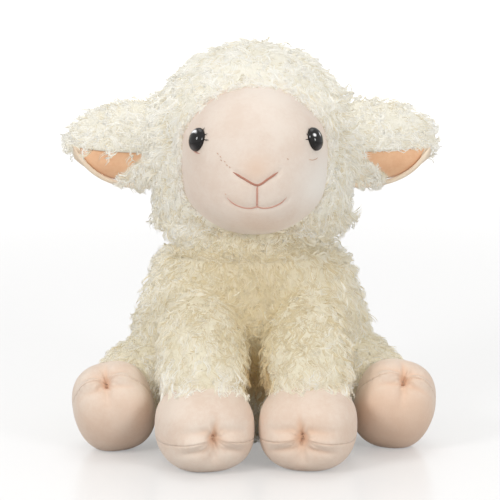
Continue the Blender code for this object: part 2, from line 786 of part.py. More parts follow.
def build_leg(kind, foot_kind, side, word, root, ball_radius, leg, foot, sweep, axis, finishes):
    """One limb: fleece sleeve, velour foot in an upper and a sole, and a filling that ends in a ball in its seat."""
    radius, overlap, table = leg
    centre, half_sizes, ankle_offset, turn = foot
    ankle = Matrix.Diagonal((side, 1, 1)) @ (centre + Vector(ankle_offset))
    seam = joint(f"{kind}_{word}_swing", root)
    form = limb_shape(root, ankle, radius, overlap, table)
    last = foot_shape(centre, half_sizes, turn, side)
    obstacles = body_sweep(f"{kind}_{word}_sweep", root, axis, sweep)

    sleeve_mesh = ball_mesh(f"{kind}_skin_{word}", form, LIMB_FACETS, opened=lambda unit: abs(unit.z) > 0.93)
    sleeve = add(f"{kind}_skin_{word}", sleeve_mesh, seam, finishes["fleece"])
    walled(sleeve, FLEECE_THICKNESS)
    for obstacle in obstacles:
        joined(sleeve, obstacle)
    seat = cutter(f"{kind}_root_{word}", ball("root", root, ball_radius + SEAM_GAP, BALL_FACETS, axis))
    joined(sleeve, seat)
    shod = grown(cutter(f"{kind}_shod_{word}", ball_mesh("shod", last, FOOT_FACETS, "Y")), SEAM_GAP)
    joined(sleeve, shod)

    filling = add(f"{kind}_filling_{word}", ball_mesh("filling", form, LIMB_FACETS), seam, finishes["fibre"])
    grown(filling, -(FLEECE_THICKNESS + 2 * SEAM_GAP))
    for obstacle in obstacles:
        joined(filling, obstacle)
    root_ball = cutter(f"{kind}_ball_{word}", ball("root_ball", root, ball_radius, BALL_FACETS, axis))
    joined(filling, root_ball, "UNION")
    stuffing = cutter(f"{kind}_foot_filling_{word}", ball_mesh("foot_filling", last, FOOT_FACETS, "Y"))
    joined(filling, grown(stuffing, -(VELOUR_THICKNESS + 2 * SEAM_GAP)), "UNION")

    passage = cutter(f"{kind}_passage_{word}", ball_mesh("passage", form, LIMB_FACETS))
    grown(passage, SEAM_GAP - FLEECE_THICKNESS)
    middle, toe, up = foot_axes(centre, turn, side)
    for name, above in ((f"{foot_kind}_sole_{word}", True), (f"{foot_kind}_upper_{word}", False)):
        shell = add(name, ball_mesh(name, last, FOOT_FACETS, "Y"), seam, finishes["velour"])
        core = grown(cutter(f"{name}_core", ball_mesh("core", last, FOOT_FACETS, "Y")), -VELOUR_THICKNESS)
        joined(shell, core)
        joined(shell, passage)
        joined(shell, halved(f"{name}_seam", middle, up, above))

    dimple = last(Vector((0.0, -1.0, 0.0)))
    toe_surface = surface_of(last, FOOT_FACETS, "Y")
    stitch = [
        laid(toe_surface, dimple + share * TOE_THREAD_HALF_LENGTH * up, -toe)
        for share in TOE_THREAD_SHARES
    ]
    thread(f"{foot_kind}_toe_thread_{word}", stitch, seam, finishes["stitch"])


def build_legs(finishes):
    for side, word in SIDES:
        root = shoulder_place(side)
        height = FOREFOOT_HALF_SIZES[2] - SOLE_FLAT
        centre = foot_centre(root, side, FOREFOOT_OUTWARD, FOREFOOT_FORWARD, height)
        build_leg(
            "foreleg", "forefoot", side, word, root, SHOULDER_RADIUS,
            (FORELEG_RADIUS, FORELEG_OVERLAP, FORELEG_SHARES),
            (centre, FOREFOOT_HALF_SIZES, FOREFOOT_ANKLE, foot_turn(0.0, 0.0, FOREFOOT_TURN)),
            FORELEG_SWEEP, "X", finishes,
        )
        root = hip_place(side)
        height = HIND_FOOT_HALF_SIZES[2] - SOLE_FLAT + HIND_FOOT_RISE
        centre = foot_centre(root, side, HIND_FOOT_OUTWARD, HIND_FOOT_FORWARD, height)
        build_leg(
            "hind_leg", "hind_foot", side, word, root, HIP_RADIUS,
            (HIND_LEG_RADIUS, HIND_LEG_OVERLAP, HIND_LEG_SHARES),
            (centre, HIND_FOOT_HALF_SIZES, HIND_FOOT_ANKLE, foot_turn(HIND_FOOT_TIP, HIND_FOOT_SPLAY, 0.0)),
            [side * angle for angle in HIND_LEG_SWEEP], "Z", finishes,
        )


# Tail


def build_tail(finishes):
    root = tail_place()
    seam = joint("tail_lift", root)
    tip = root + TAIL_LENGTH * Vector((0.0, math.cos(TAIL_DIP), -math.sin(TAIL_DIP)))
    form = limb_shape(root, tip, TAIL_RADIUS, TAIL_OVERLAP, TAIL_SHARES)
    obstacles = body_sweep("tail_sweep", root, "X", TAIL_SWEEP)
    skin_mesh = ball_mesh("tail_skin", form, TAIL_FACETS, opened=lambda unit: unit.z < -0.9)
    skin = add("tail_skin", skin_mesh, seam, finishes["fleece"])
    walled(skin, TAIL_FLEECE)
    filling = add("tail_filling", ball_mesh("tail_filling", form, TAIL_FACETS), seam, finishes["fibre"])
    grown(filling, -(TAIL_FLEECE + SEAM_GAP))
    for obstacle in obstacles:
        joined(skin, obstacle)
        joined(filling, obstacle)
    seat = ball("tail_root_seat", root, TAIL_ROOT_RADIUS + SEAM_GAP, BALL_FACETS, "X")
    joined(skin, cutter("tail_root_seat", seat))
    root_ball = ball("tail_root_ball", root, TAIL_ROOT_RADIUS, BALL_FACETS, "X")
    joined(filling, cutter("tail_root_ball", root_ball), "UNION")


# The whole sheep

SIDES = ((1, "left"), (-1, "right"))


def main():
    clear_scene()
    finishes = {
        "fleece": cloth("cream_fleece", (0.86, 0.82, 0.68), 0.95),
        "velour": cloth("blush_velour", (0.84, 0.68, 0.56), 0.85),
        "lining": cloth("apricot_velour", (0.80, 0.50, 0.31), 0.85),
        "fibre": cloth("polyester_fibre", (0.90, 0.90, 0.90), 1.0),
        "bag": cloth("bag_cotton", (0.75, 0.73, 0.68), 0.9),
        "eye": cloth("black_eye", (0.01, 0.01, 0.01), 0.08),
        "washer": cloth("white_washer", (0.8, 0.8, 0.8), 0.5),
        "thread": cloth("rose_thread", (0.55, 0.22, 0.17), 0.6),
        "stitch": cloth("blush_thread", (0.62, 0.42, 0.32), 0.7),
    }
    build_body(finishes)
    nod = build_neck(finishes)
    build_head(nod, finishes)
    for side, word in SIDES:
        build_ear(side, word, nod, finishes)
    build_legs(finishes)
    build_tail(finishes)


main()
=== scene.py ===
# %% [markdown]
# # A seated plush sheep
# The real toy is sewn from long curly fleece and short velour, then stuffed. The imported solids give
# its sizes, its bodies and its joints. This lesson dresses them: each piece is a surface worked out
# with numpy, and the fleece is real locks of fibre that grow out of it. Units are metres, +Z is up
# and the sheep faces -Y.

import math

import bpy
import bmesh
import numpy as np
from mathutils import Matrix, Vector


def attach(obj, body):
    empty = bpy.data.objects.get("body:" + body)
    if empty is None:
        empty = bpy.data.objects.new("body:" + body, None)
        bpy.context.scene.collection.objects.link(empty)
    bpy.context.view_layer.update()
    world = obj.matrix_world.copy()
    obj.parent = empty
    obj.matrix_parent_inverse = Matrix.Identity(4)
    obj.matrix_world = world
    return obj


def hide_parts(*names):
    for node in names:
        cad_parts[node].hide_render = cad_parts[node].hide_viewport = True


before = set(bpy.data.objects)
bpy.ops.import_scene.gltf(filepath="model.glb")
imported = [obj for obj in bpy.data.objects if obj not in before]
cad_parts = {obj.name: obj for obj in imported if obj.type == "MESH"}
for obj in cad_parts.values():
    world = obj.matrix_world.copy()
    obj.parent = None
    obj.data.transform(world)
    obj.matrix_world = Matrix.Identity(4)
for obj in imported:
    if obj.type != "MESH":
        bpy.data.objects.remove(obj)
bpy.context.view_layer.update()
SIDES = ((1, "left"), (-1, "right"))

# %% [markdown]
# ## Sizes
# The fleece and the velour follow the same values as the solids under them, so that a lock grows
# where the toy's cloth really is. Each form is a ball that is pulled into shape, and a table gives
# how wide and deep it is on the way up: rows of (share of the height, width, depth, lean).

# %% Sizes of the forms
VELOUR, PILE, EAR_PILE, FLOOR_LIFT = 0.0016, 0.0054, 0.0034, 0.0004

BODY_HALF_WIDTH, BODY_HALF_DEPTH, BODY_SUNK, BODY_HEIGHT = 0.084, 0.056, 0.018, 0.178
BODY_SHARES = (
    (0.00, 1.27, 1.65, 0.28),
    (0.10, 1.15, 1.54, 0.29),
    (0.21, 1.03, 1.26, 0.32),
    (0.33, 1.00, 1.08, 0.31),
    (0.50, 1.03, 1.00, 0.21),
    (0.64, 0.99, 0.95, 0.05),
    (0.80, 0.99, 1.08, -0.04),
    (0.88, 1.03, 1.26, -0.04),
    (1.00, 1.03, 1.26, -0.04),
)
NECK_HEIGHT, NECK_RADIUS = 0.138, 0.042
SHOULDER_SLOPE, NAPE_SLOPE = math.tan(math.radians(3)), math.tan(math.radians(8))

HEAD_HALF_WIDTH, HEAD_HALF_DEPTH, HEAD_HEIGHT = 0.069, 0.060, 0.144
HEAD_BASE, HEAD_FORWARD = 0.136, 0.006
HEAD_SHARES = (
    (0.00, 1.66, 1.50),
    (0.08, 1.58, 1.46),
    (0.16, 1.36, 1.26),
    (0.27, 1.15, 1.08),
    (0.50, 1.02, 1.01),
    (0.72, 1.04, 1.02),
    (0.86, 1.05, 1.02),
    (1.00, 1.04, 1.00),
)

FACE_CENTRE = np.array((0.0, -0.0411, 0.2005))
FACE_HALF = np.array((0.045, 0.055, 0.0505))
FACE_TUCK, FACE_FULLNESS, FACE_END = 0.006, 2.25, 0.16
FACE_SHARES = (
    (0.00, 0.98), (0.10, 1.06), (0.22, 1.13), (0.42, 1.09), (0.62, 1.10),
    (0.72, 1.11), (0.80, 1.07), (0.88, 1.03), (1.00, 1.02),
)

EAR_CENTRE = np.array((0.07797, -0.009, 0.20843))
EAR_OUTWARD, EAR_INWARD, EAR_HALF_HEIGHT, EAR_HALF_DEPTH = 0.052, 0.024, 0.031, 0.0175
EAR_FULLNESS, EAR_ROOT_GAIN = 2.05, 0.10

SHOULDER = np.array((0.0355, -0.030834, 0.094))
HIP = np.array((0.063515, 0.014, 0.042))
TAIL_ROOT, TAIL_DIP = np.array((0.0, 0.069086, 0.050)), math.radians(35)
FOOT_FULLNESS = 2.45
FOREFOOT_CENTRE = np.array((0.0345, -0.082834, 0.0265))
FOREFOOT_HALF = np.array((0.0325, 0.0340, 0.0285))
FOREFOOT_ANKLE = np.array((0.0350, -0.073834, 0.0450))
HIND_FOOT_CENTRE = np.array((0.096015, -0.045, 0.0305))
HIND_FOOT_HALF = np.array((0.0275, 0.0330, 0.0265))
HIND_FOOT_ANKLE = np.array((0.087515, -0.031, 0.0360))
print("the face is", 2 * FACE_HALF[0], "m wide before its table widens it")

# %% [markdown]
# ## Shape helpers
# A form is a function from points of a unit ball to places in space, worked out on whole arrays.
# The tables have corners, which cloth doesn't, so they are rounded off before they are read.

# %% Easing, hills and ramps
EASE = 32


def eased(table, share):
    """A table's columns at the given shares: linear between its rows, then averaged under a
    hill-shaped weight."""
    rows = np.array(table)
    fine = np.linspace(-0.25, 1.25, 601)
    weight = np.hanning(2 * EASE + 1)
    weight /= weight.sum()
    soft = []
    for column in rows[:, 1:].T:
        raw = np.interp(fine, rows[:, 0], column)
        level = np.convolve(np.pad(raw, EASE, mode="edge"), weight, "valid")
        soft.append(np.interp(share, fine, level))
    return soft


def fuller(units, fullness):
    """A ball pushed towards a box: each direction is divided by its own length, measured with a
    higher power."""
    size = (np.abs(units) ** fullness).sum(1) ** (1 / fullness)
    return units / size[:, None]


def hill(distance, spread):
    """A smooth bump: 1 in the middle, falling away with the square of the distance."""
    return np.exp(-((distance / spread) ** 2))


def ramp(values, low, high):
    """0 below low, 1 above high, and an S-shaped rise between."""
    share = np.clip((values - low) / (high - low), 0, 1)
    return share * share * (3 - 2 * share)


def unit_rows(vectors):
    """Each vector divided by its length."""
    return vectors / np.maximum(np.linalg.norm(vectors, axis=-1, keepdims=True), 1e-12)


def triples(first, second, third):
    """Rows of three numbers: each column is an array, or one number for every row."""
    return np.stack(np.broadcast_arrays(first, second, third), -1)


def from_axis(places):
    """How far places lie from the upright line through the neck."""
    return np.hypot(places[:, 0], places[:, 1])


print("the body's width, depth and lean halfway up:", np.round(eased(BODY_SHARES, 0.5), 3))

# %% [markdown]
# ## The forms
# The body is a pear with a flat seat, and the head a ball that is cut off over the neck. Legs and
# tail are sleeves about a line, and an ear is a leaf. How far out a place lies in the body or the
# head is read from the same tables, to know what is covered by them.

# %% Body, head, limbs and ears as functions
def body_form(units):
    """A pear: width, depth and lean follow the height, the seat is cut flat and the top is a
    shallow cone."""
    share = (1 + units[:, 2]) / 2
    width, depth, lean = eased(BODY_SHARES, share)
    x = BODY_HALF_WIDTH * width * units[:, 0]
    y = BODY_HALF_DEPTH * (lean + depth * units[:, 1])
    z = share * BODY_HEIGHT - BODY_SUNK
    return triples(x, y, np.clip(z, 0.0, NECK_HEIGHT - np.hypot(x, y) * SHOULDER_SLOPE))


def head_form(units):
    """A ball that widens towards the cheeks, cut off below by a shallow cone over the neck."""
    share = (1 + units[:, 2]) / 2
    width, depth = eased(HEAD_SHARES, share)
    x = HEAD_HALF_WIDTH * width * units[:, 0]
    y = HEAD_HALF_DEPTH * depth * units[:, 1] - HEAD_FORWARD
    z = HEAD_BASE + share * HEAD_HEIGHT
    return triples(x, y, np.maximum(z, NECK_HEIGHT + np.hypot(x, y) * NAPE_SLOPE))


def oval_reach(x, y, share, half_width, half_depth):
    """How far out a place lies in the oval at its height: 1 on the surface, less inside."""
    ring = np.sqrt(np.maximum(1 - (2 * share - 1) ** 2, 1e-4))
    return np.hypot(x / (half_width * ring), y / (half_depth * ring))


def body_reach(places):
    """How far out a place lies in the body, by its tables at that height."""
    share = (places[:, 2] + BODY_SUNK) / BODY_HEIGHT
    width, depth, lean = eased(BODY_SHARES, share)
    y = places[:, 1] - BODY_HALF_DEPTH * lean
    return oval_reach(places[:, 0], y, share, BODY_HALF_WIDTH * width, BODY_HALF_DEPTH * depth)


def head_reach(places):
    """How far out a place lies in the hood: 1 on its surface, less inside."""
    share = np.clip((places[:, 2] - HEAD_BASE) / HEAD_HEIGHT, 0, 1)
    width, depth = eased(HEAD_SHARES, share)
    y = places[:, 1] + HEAD_FORWARD
    return oval_reach(places[:, 0], y, share, HEAD_HALF_WIDTH * width, HEAD_HALF_DEPTH * depth)


def limb_form(start, end, radius, overlap, table):
    """A sleeve about the line from start to end, whose radius follows a table along it."""
    along = (end - start) / np.linalg.norm(end - start)
    turn = np.array(Vector(along).to_track_quat("Z", "X").to_matrix())
    half_length = np.linalg.norm(end - start) / 2 + overlap

    def form(units):
        full = fuller(units, FOOT_FULLNESS)
        width = radius * eased(table, (1 + full[:, 2]) / 2)[0]
        local = triples(width * full[:, 0], width * full[:, 1], half_length * full[:, 2])
        places = (start + end) / 2 + local @ turn.T
        places[:, 2] = np.maximum(places[:, 2], 0.0)
        return places

    return form


def ear_form(side, inset=0.0):
    """A leaf: longer outwards than inwards, and higher at its root."""

    def form(units):
        full = fuller(units, EAR_FULLNESS)
        reach = np.where(full[:, 0] > 0, EAR_OUTWARD, EAR_INWARD) - inset
        height = (EAR_HALF_HEIGHT - inset) * (1 - EAR_ROOT_GAIN * full[:, 0])
        depth = EAR_HALF_DEPTH - inset
        local = triples(reach * full[:, 0], depth * full[:, 1], height * full[:, 2])
        return (EAR_CENTRE + local) * (side, 1, 1)

    return form


def mirrored(form, side):
    """The same form on the sheep's other side."""
    return lambda units: form(units) * (side, 1, 1)


FORELEG_TABLE = ((0.00, 0.95), (0.30, 0.98), (0.65, 1.06), (1.00, 1.10))
HIND_LEG_TABLE = ((0.00, 1.12), (0.35, 1.07), (0.70, 0.98), (1.00, 0.95))
TAIL_TABLE = ((0.00, 0.85), (0.40, 1.00), (0.75, 1.00), (1.00, 0.90))
TAIL_END = TAIL_ROOT + 0.044 * np.array((0.0, math.cos(TAIL_DIP), -math.sin(TAIL_DIP)))
FORELEG_FORM = limb_form(SHOULDER, FOREFOOT_ANKLE, 0.031, 0.017, FORELEG_TABLE)
HIND_LEG_FORM = limb_form(HIP, HIND_FOOT_ANKLE, 0.0315, 0.022, HIND_LEG_TABLE)
TAIL_FORM = limb_form(TAIL_ROOT, TAIL_END, 0.0155, 0.004, TAIL_TABLE)
print("the top of the head:", head_form(np.array([(0.0, 0.0, 1.0)])).round(4))

# %% [markdown]
# ## Grids and skins
# A grid of points on the unit ball goes through a form's function, and gives a grid of places. Its
# neighbours give the normals. Locks are sown on the same grid, evenly over its area.

# %% Skins
AXES = {"Z": (0, 1, 2), "Y": (1, 2, 0), "X": (2, 0, 1)}


def ball_grid(along, around, pole="Z", polar=(0.0, math.pi), turn=(0.0, 2 * math.pi), closed=True):
    """Rows from a ball's pole to the opposite one, and columns round it. The last column is left
    out if it closes."""
    down = np.linspace(*polar, along + 1)[:, None]
    round_it = np.linspace(*turn, around + 1)[None, : around if closed else around + 1]
    grid = triples(np.sin(down) * np.cos(round_it), np.sin(down) * np.sin(round_it), np.cos(down))
    return grid[:, :, list(AXES[pole])]


class Skin:
    """A form's places and outward normals on a grid."""

    def __init__(self, form, along, around, pole="Z", closed=True, **span):
        self.grid = ball_grid(along, around, pole, closed=closed, **span)
        self.units, self.closed, self.crease_and_painted_light = self.grid.reshape(-1, 3), closed, None
        self.places = form(self.units).reshape(self.grid.shape)
        down = np.gradient(self.places, axis=0)
        if closed:
            east = np.roll(self.places, -1, 1) - np.roll(self.places, 1, 1)
        else:
            east = np.gradient(self.places, axis=1)
        normals = np.cross(down, east)
        for row, beside in ((0, 1), (-1, -2)):
            if np.linalg.norm(east[row], axis=-1).max() < 1e-9:
                normals[row] = normals[beside].mean(0)
        normals = unit_rows(normals)
        self.flat = self.places.reshape(-1, 3)
        self.turned = (normals * (self.places - self.flat.mean(0))).sum() < 0
        self.normals = -normals if self.turned else normals

    def with_painted_light(self, depth):
        """The same skin, with the light and shade painted at each place kept for its finish."""
        self.crease_and_painted_light = np.reshape(depth, self.places.shape[:2])
        return self

    def inset(self, depth):
        """The grid moved inwards, and kept above the floor."""
        places = self.places - depth * self.normals
        places[..., 2] = np.maximum(places[..., 2], FLOOR_LIFT)
        return places

    def scattered(self, per_area, rng, depth=0.0):
        """(places, normals) spread evenly: cells are drawn in turn by their area, and mixed from
        their four corners."""
        both = np.concatenate([self.inset(depth) if depth else self.places, self.normals], 2)
        if self.closed:
            both = np.concatenate([both, both[:, :1]], 1)
        corners = (both[:-1, :-1], both[1:, :-1], both[1:, 1:], both[:-1, 1:])
        first, second = (corners[2] - corners[0])[..., :3], (corners[3] - corners[1])[..., :3]
        area = (np.linalg.norm(np.cross(first, second), axis=-1) / 2).ravel()
        count = int(area.sum() * per_area)
        order = rng.permutation(len(area))
        steps = (np.arange(count) + rng.random(count)) / count * area.sum()
        cell = np.minimum(np.searchsorted(np.cumsum(area[order]), steps), len(area) - 1)
        s, t = rng.random(count)[:, None], rng.random(count)[:, None]
        weights = ((1 - s) * (1 - t), s * (1 - t), s * t, (1 - s) * t)
        mixed = sum(w * c.reshape(-1, 6)[order[cell]] for w, c in zip(weights, corners))
        return mixed[:, :3], unit_rows(mixed[:, 3:])


body_skin = Skin(body_form, 64, 96)
head_skin = Skin(head_form, 64, 96)
print("places on the body's skin:", len(body_skin.flat), "and on the head's:", len(head_skin.flat))

# %% [markdown]
# ## From skins to pieces
# A closed skin is its grid with the two poles closed; a shell is two grids, an outer and an inner
# one, joined along their open edges, as cloth with a thickness. A piece is a mesh that rides on a
# body and wears a finish, and a cover is a piece of cloth.

# %% Meshes and pieces
# The attribute that carries light and shade painted into a piece's colour: shade in hollows, gaps and
# under parts, highlights and reflections, and pale light.
PAINTED_LIGHT_ATTRIBUTE = "crease_and_painted_light"


def cells(rows, columns, closed, start=0):
    """The quads of a grid, as indices of its corners, turning left from the outside."""
    r = np.arange(rows - 1)[:, None]
    c = np.arange(columns if closed else columns - 1)[None, :]
    n = (c + 1) % columns
    corners = (r * columns + c, (r + 1) * columns + c, (r + 1) * columns + n, r * columns + n)
    return start + np.stack(corners, 2).reshape(-1, 4)


def cloth_mesh(skin, layers, quads):
    """A mesh from one or two layers of a skin, with its painted light and shade as an attribute.
    Points that share a place become one, and faces without area go."""
    mesh = bpy.data.meshes.new("cloth")
    places = np.concatenate([layer.reshape(-1, 3) for layer in layers])
    mesh.from_pydata(places.tolist(), [], (quads[:, ::-1] if skin.turned else quads).tolist())
    if skin.crease_and_painted_light is not None:
        layer = mesh.attributes.new(PAINTED_LIGHT_ATTRIBUTE, "FLOAT", "POINT")
        values = np.tile(skin.crease_and_painted_light.ravel(), len(layers))
        layer.data.foreach_set("value", values.astype(np.float32))
    work = bmesh.new()
    work.from_mesh(mesh)
    bmesh.ops.remove_doubles(work, verts=work.verts, dist=1e-6)
    bmesh.ops.dissolve_degenerate(work, edges=work.edges, dist=1e-7)
    work.to_mesh(mesh)
    work.free()
    mesh.shade_smooth()
    return mesh


def closed_skin(skin, depth=0.0):
    """A closed skin from a whole grid, whose first and last rows are its poles."""
    return cloth_mesh(skin, [skin.inset(depth)], cells(*skin.places.shape[:2], True))


def shell(skin, outer=0.0, inner=VELOUR):
    """A wall of cloth: the grid at two depths, joined along every open edge."""
    rows, columns = skin.places.shape[:2]
    count = rows * columns
    index = np.arange(count).reshape(rows, columns)
    edges = [(index[0], 1), (index[-1], -1)]
    if skin.closed:
        edges = [(np.append(line, line[0]), way) for line, way in edges]
    else:
        edges += [(index[:, 0], -1), (index[:, -1], 1)]
    face = cells(rows, columns, skin.closed)
    quads = [face, (face + count)[:, ::-1]]
    for line, way in edges:
        wall = np.stack([line[:-1], line[1:], line[1:] + count, line[:-1] + count], 1)
        quads.append(wall[:, ::way])
    return cloth_mesh(skin, [skin.inset(outer), skin.inset(inner)], np.concatenate(quads))


def placed(name, data):
    """An object in the scene, at the origin."""
    made = bpy.data.objects.new(name, data)
    bpy.context.scene.collection.objects.link(made)
    return made


def piece(name, mesh, body, finish, *nodes):
    """A finished piece: it rides on a body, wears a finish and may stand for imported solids."""
    mesh.name = name
    made = placed(name, mesh)
    mesh.materials.clear()
    mesh.materials.append(finish.made)
    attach(made, body)
    if nodes:
        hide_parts(*nodes)
    print(f"{name}: {len(mesh.polygons)} faces, rides on {body}")
    return made


def cover(name, mesh, body, finish, *nodes, fill=0.8):
    """A piece of cloth, made as any piece."""
    piece(name, mesh, body, finish, *nodes)


print("quads of the body's skin:", len(cells(*body_skin.places.shape[:2], True)))

# %% [markdown]
# ## Finishes
# A material here is written as Python expressions. A small class wraps a socket, so that adding or
# multiplying two of them draws the Math node. Colours go through Mix nodes, and every other node
# comes from one method.

# %% The socket wrapper and the finish
class Socket:
    """An output inside a finish. Arithmetic on it adds the Math node that does it."""

    def __init__(self, finish, output):
        self.finish, self.output = finish, output

    def maths(self, operation, *values):
        return self.finish.node("ShaderNodeMath", {"operation": operation}, values)

    def __add__(self, other):
        return self.maths("ADD", self, other)

    def __mul__(self, other):
        return self.maths("MULTIPLY", self, other)

    def __sub__(self, other):
        return self.maths("SUBTRACT", self, other)

    def __rsub__(self, other):
        return self.maths("SUBTRACT", other, self)

    __radd__, __rmul__ = __add__, __mul__

    def between(self, low, high):
        """0 at low and 1 at high, with an S-shaped rise."""
        sockets = {"Value": self, "From Min": low, "From Max": high}
        return self.finish.node("ShaderNodeMapRange", {"interpolation_type": "SMOOTHSTEP"}, sockets)

    def beside(self, name):
        """Another output of the same node."""
        return Socket(self.finish, self.output.node.outputs[name])


class Finish:
    """A material under construction, or the world, and the record's slot that it stands for."""

    def __init__(self, name, slot=None, made=None):
        self.slot, self.made = slot, made or bpy.data.materials.new(name)
        self.made.use_nodes = True
        self.tree = self.made.node_tree
        self.tree.nodes.clear()

    def node(self, kind, settings=(), sockets=(), out=0):
        """Adds a node, makes its settings, fills its sockets by place or by name, and returns one
        output."""
        made = self.tree.nodes.new(kind)
        for key, value in dict(settings).items():
            setattr(made, key, value)
        for key, value in sockets.items() if isinstance(sockets, dict) else enumerate(sockets):
            if isinstance(value, Socket):
                self.tree.links.new(value.output, made.inputs[key])
            else:
                made.inputs[key].default_value = value
        return Socket(self, made.outputs[out] if made.outputs else None)

    def places(self):
        """Object coordinates, which are metres in the sheep's own frame."""
        return self.node("ShaderNodeTexCoord", out="Object")

    def noise(self, where, scale, detail=2.0, roughness=0.5):
        sockets = {"Vector": where, "Scale": scale, "Detail": detail, "Roughness": roughness}
        return self.node("ShaderNodeTexNoise", {}, sockets)

    def mixed(self, share, first, second, blend="MIX"):
        """Two colours mixed by a share."""
        settings = {"data_type": "RGBA", "blend_type": blend}
        return self.node("ShaderNodeMix", settings, {0: share, 6: first, 7: second}, out=2)

    def with_painted_light(self, colour, fold_and_painted_light, cool=None):
        """Painted light and shade: a colour that turns to its first tone where the piece's attribute
        is above 0, and to the cool tone below 0.
        """
        crease_and_painted_light = self.node("ShaderNodeAttribute", {"attribute_name": PAINTED_LIGHT_ATTRIBUTE}, out="Fac")
        colour = self.mixed(crease_and_painted_light.between(0.0, 1.0), colour, fold_and_painted_light)
        return self.mixed((0 - crease_and_painted_light).between(0.0, 1.0), colour, cool) if cool else colour

    def bump(self, height, strength, distance):
        sockets = {"Height": height, "Strength": strength, "Distance": distance}
        return self.node("ShaderNodeBump", {}, sockets)

    def surface(self, **sockets):
        """The Principled shader, with its sockets named by words joined with _, and the output."""
        named = {key.replace("_", " "): value for key, value in sockets.items()}
        shader = self.node("ShaderNodeBsdfPrincipled", {}, named)
        self.node("ShaderNodeOutputMaterial", {}, {"Surface": shader})
        print("finish:", self.made.name)
        return self


def tone(red, green, blue):
    """A colour as it shows on screen, from 0 to 255, turned into linear light."""
    shown = np.array((red, green, blue)) / 255
    linear = np.where(shown <= 0.04045, shown / 12.92, ((shown + 0.055) / 1.055) ** 2.4)
    return (*[float(part) for part in linear], 1.0)


print("a middle grey in linear light:", round(tone(128, 128, 128)[0], 3))

# %% [markdown]
# ## Fleece
# Fleece fibre is painted pale at the tips and warmer down in the pile, as painted shade of the
# pile. Its colour is read from the lock's own map, root to tip along it and dark to light across it,
# so that it follows every curl; dark to light holds each lock's random tone and its painted shade.
# The backing between the locks is knitted cloth under short loose fibre, with painted shade between
# the forelegs, under the chin and at the hood's hem.

# %% Fleece finishes
LOCK_MAP = "OFBake"


def fleece_finish():
    finish = Finish("curly_fleece", "cream_fleece")
    where = finish.node("ShaderNodeUVMap", {"uv_map": LOCK_MAP})
    lightness = finish.node("ShaderNodeSeparateXYZ", {}, [where])
    # Painted shade of the pile: each strand is darker and warmer at its root, pale at its tip.
    to_tip = lightness.beside("Y").between(0.0, 0.4)
    fibre = finish.mixed(to_tip, tone(238, 228, 202), tone(255, 253, 246))
    # Across the map, the lightness runs from the warm painted shade of sheltered places to pale open
    # fleece.
    warm = tone(222, 188, 134)
    levels = (
        (0.0, 0.25, (226, 211, 176)), (0.25, 0.6, (248, 242, 226)), (0.6, 1.0, (255, 255, 253)),
    )
    for low, high, paler in levels:
        warm = finish.mixed(lightness.between(low, high), warm, tone(*paler))
    colour = finish.mixed(1.0, fibre, warm, "MULTIPLY")
    return finish.surface(Base_Color=colour, Roughness=0.8, Sheen_Weight=0.3, Sheen_Roughness=0.5)


def backing_finish(name, deep, pale):
    finish = Finish(name, "cream_fleece")
    where = finish.places()
    patch = finish.noise(where, 60.0, 3.0)
    knit = finish.noise(where, 900.0, 2.0)
    curls = finish.noise(where, 260.0, 4.0, 0.6)
    colour = finish.mixed((curls * 0.6 + patch * 0.4).between(0.3, 0.6), deep, pale)
    # Painted shade from the piece's attribute: warm between the forelegs, under the chin and at the
    # hood's hem.
    colour = finish.with_painted_light(colour, tone(214, 188, 138))
    relief = finish.bump(knit * 0.3 + curls, 0.8, 0.003)
    return finish.surface(Base_Color=colour, Roughness=0.9, Normal=relief)


CURLY = fleece_finish()
BACKING = backing_finish("fleece_backing", tone(231, 220, 190), tone(243, 235, 211))
PALE_BACKING = backing_finish("pale_fleece_backing", tone(236, 230, 210), tone(247, 243, 229))

# %% [markdown]
# ## Velour
# Velour is a very short nap: a fine grain, softer where a hand has stroked it, with a pale sheen at
# grazing light. Where it is pinched, painted shade makes it warmer, for the light that bounces
# between its walls, and its other painted light and shade go through the same tones.

# %% Velour finishes
def velour_finish(name, slot, pale, deep, fold_and_painted_light, cool=None):
    """Short nap: a mottle of stroked patches, a grain of pile, a sheen, and painted light and shade
    from the piece's attribute.
    """
    finish = Finish(name, slot)
    where = finish.places()
    stroke = finish.noise(where, 55.0, 3.0, 0.55)
    nap = finish.noise(where, 1500.0, 2.0, 0.6)
    pile = finish.noise(where, 420.0, 3.0, 0.6)
    mottle = stroke * 0.6 + pile * 0.25 + nap * 0.15
    colour = finish.mixed(mottle.between(0.35, 0.62), tone(*deep), tone(*pale))
    return finish.surface(
        Base_Color=finish.with_painted_light(colour, tone(*fold_and_painted_light), tone(*cool) if cool else None),
        Roughness=0.8,
        Sheen_Weight=0.35,
        Sheen_Roughness=0.45,
        Sheen_Tint=(1.0, 0.93, 0.88, 1.0),
        Normal=finish.bump(nap * 0.6 + pile * 0.7 + stroke * 0.5, 0.5, 0.00036),
    )


BLUSH = velour_finish(
    "blush_velour_nap", "blush_velour", (234, 218, 203), (226, 204, 186), (228, 192, 164)
)
FACE_NAP = velour_finish(
    "face_velour_nap", "blush_velour",
    (231, 217, 204), (225, 207, 192), (224, 184, 152), (246, 243, 236),
)
APRICOT = velour_finish(
    "apricot_velour_nap", "apricot_velour",
    (234, 190, 151), (224, 174, 135), (200, 150, 116), (238, 228, 208),
)
RIM = velour_finish(
    "rim_velour_nap", "blush_velour", (238, 222, 200), (228, 206, 180), (210, 176, 146)
)

# %% [markdown]
# ## Eyes, yarn and what the cloth hides
# The eyes are glossy black plastic, with a painted reflection that the attribute holds: the bright
# window and the grey glow of the floor that such a dome shows. Yarn has bands that run round it on
# its own map. The filling, the pellets' bag and the washers keep their imported shapes and get a
# plain grain.

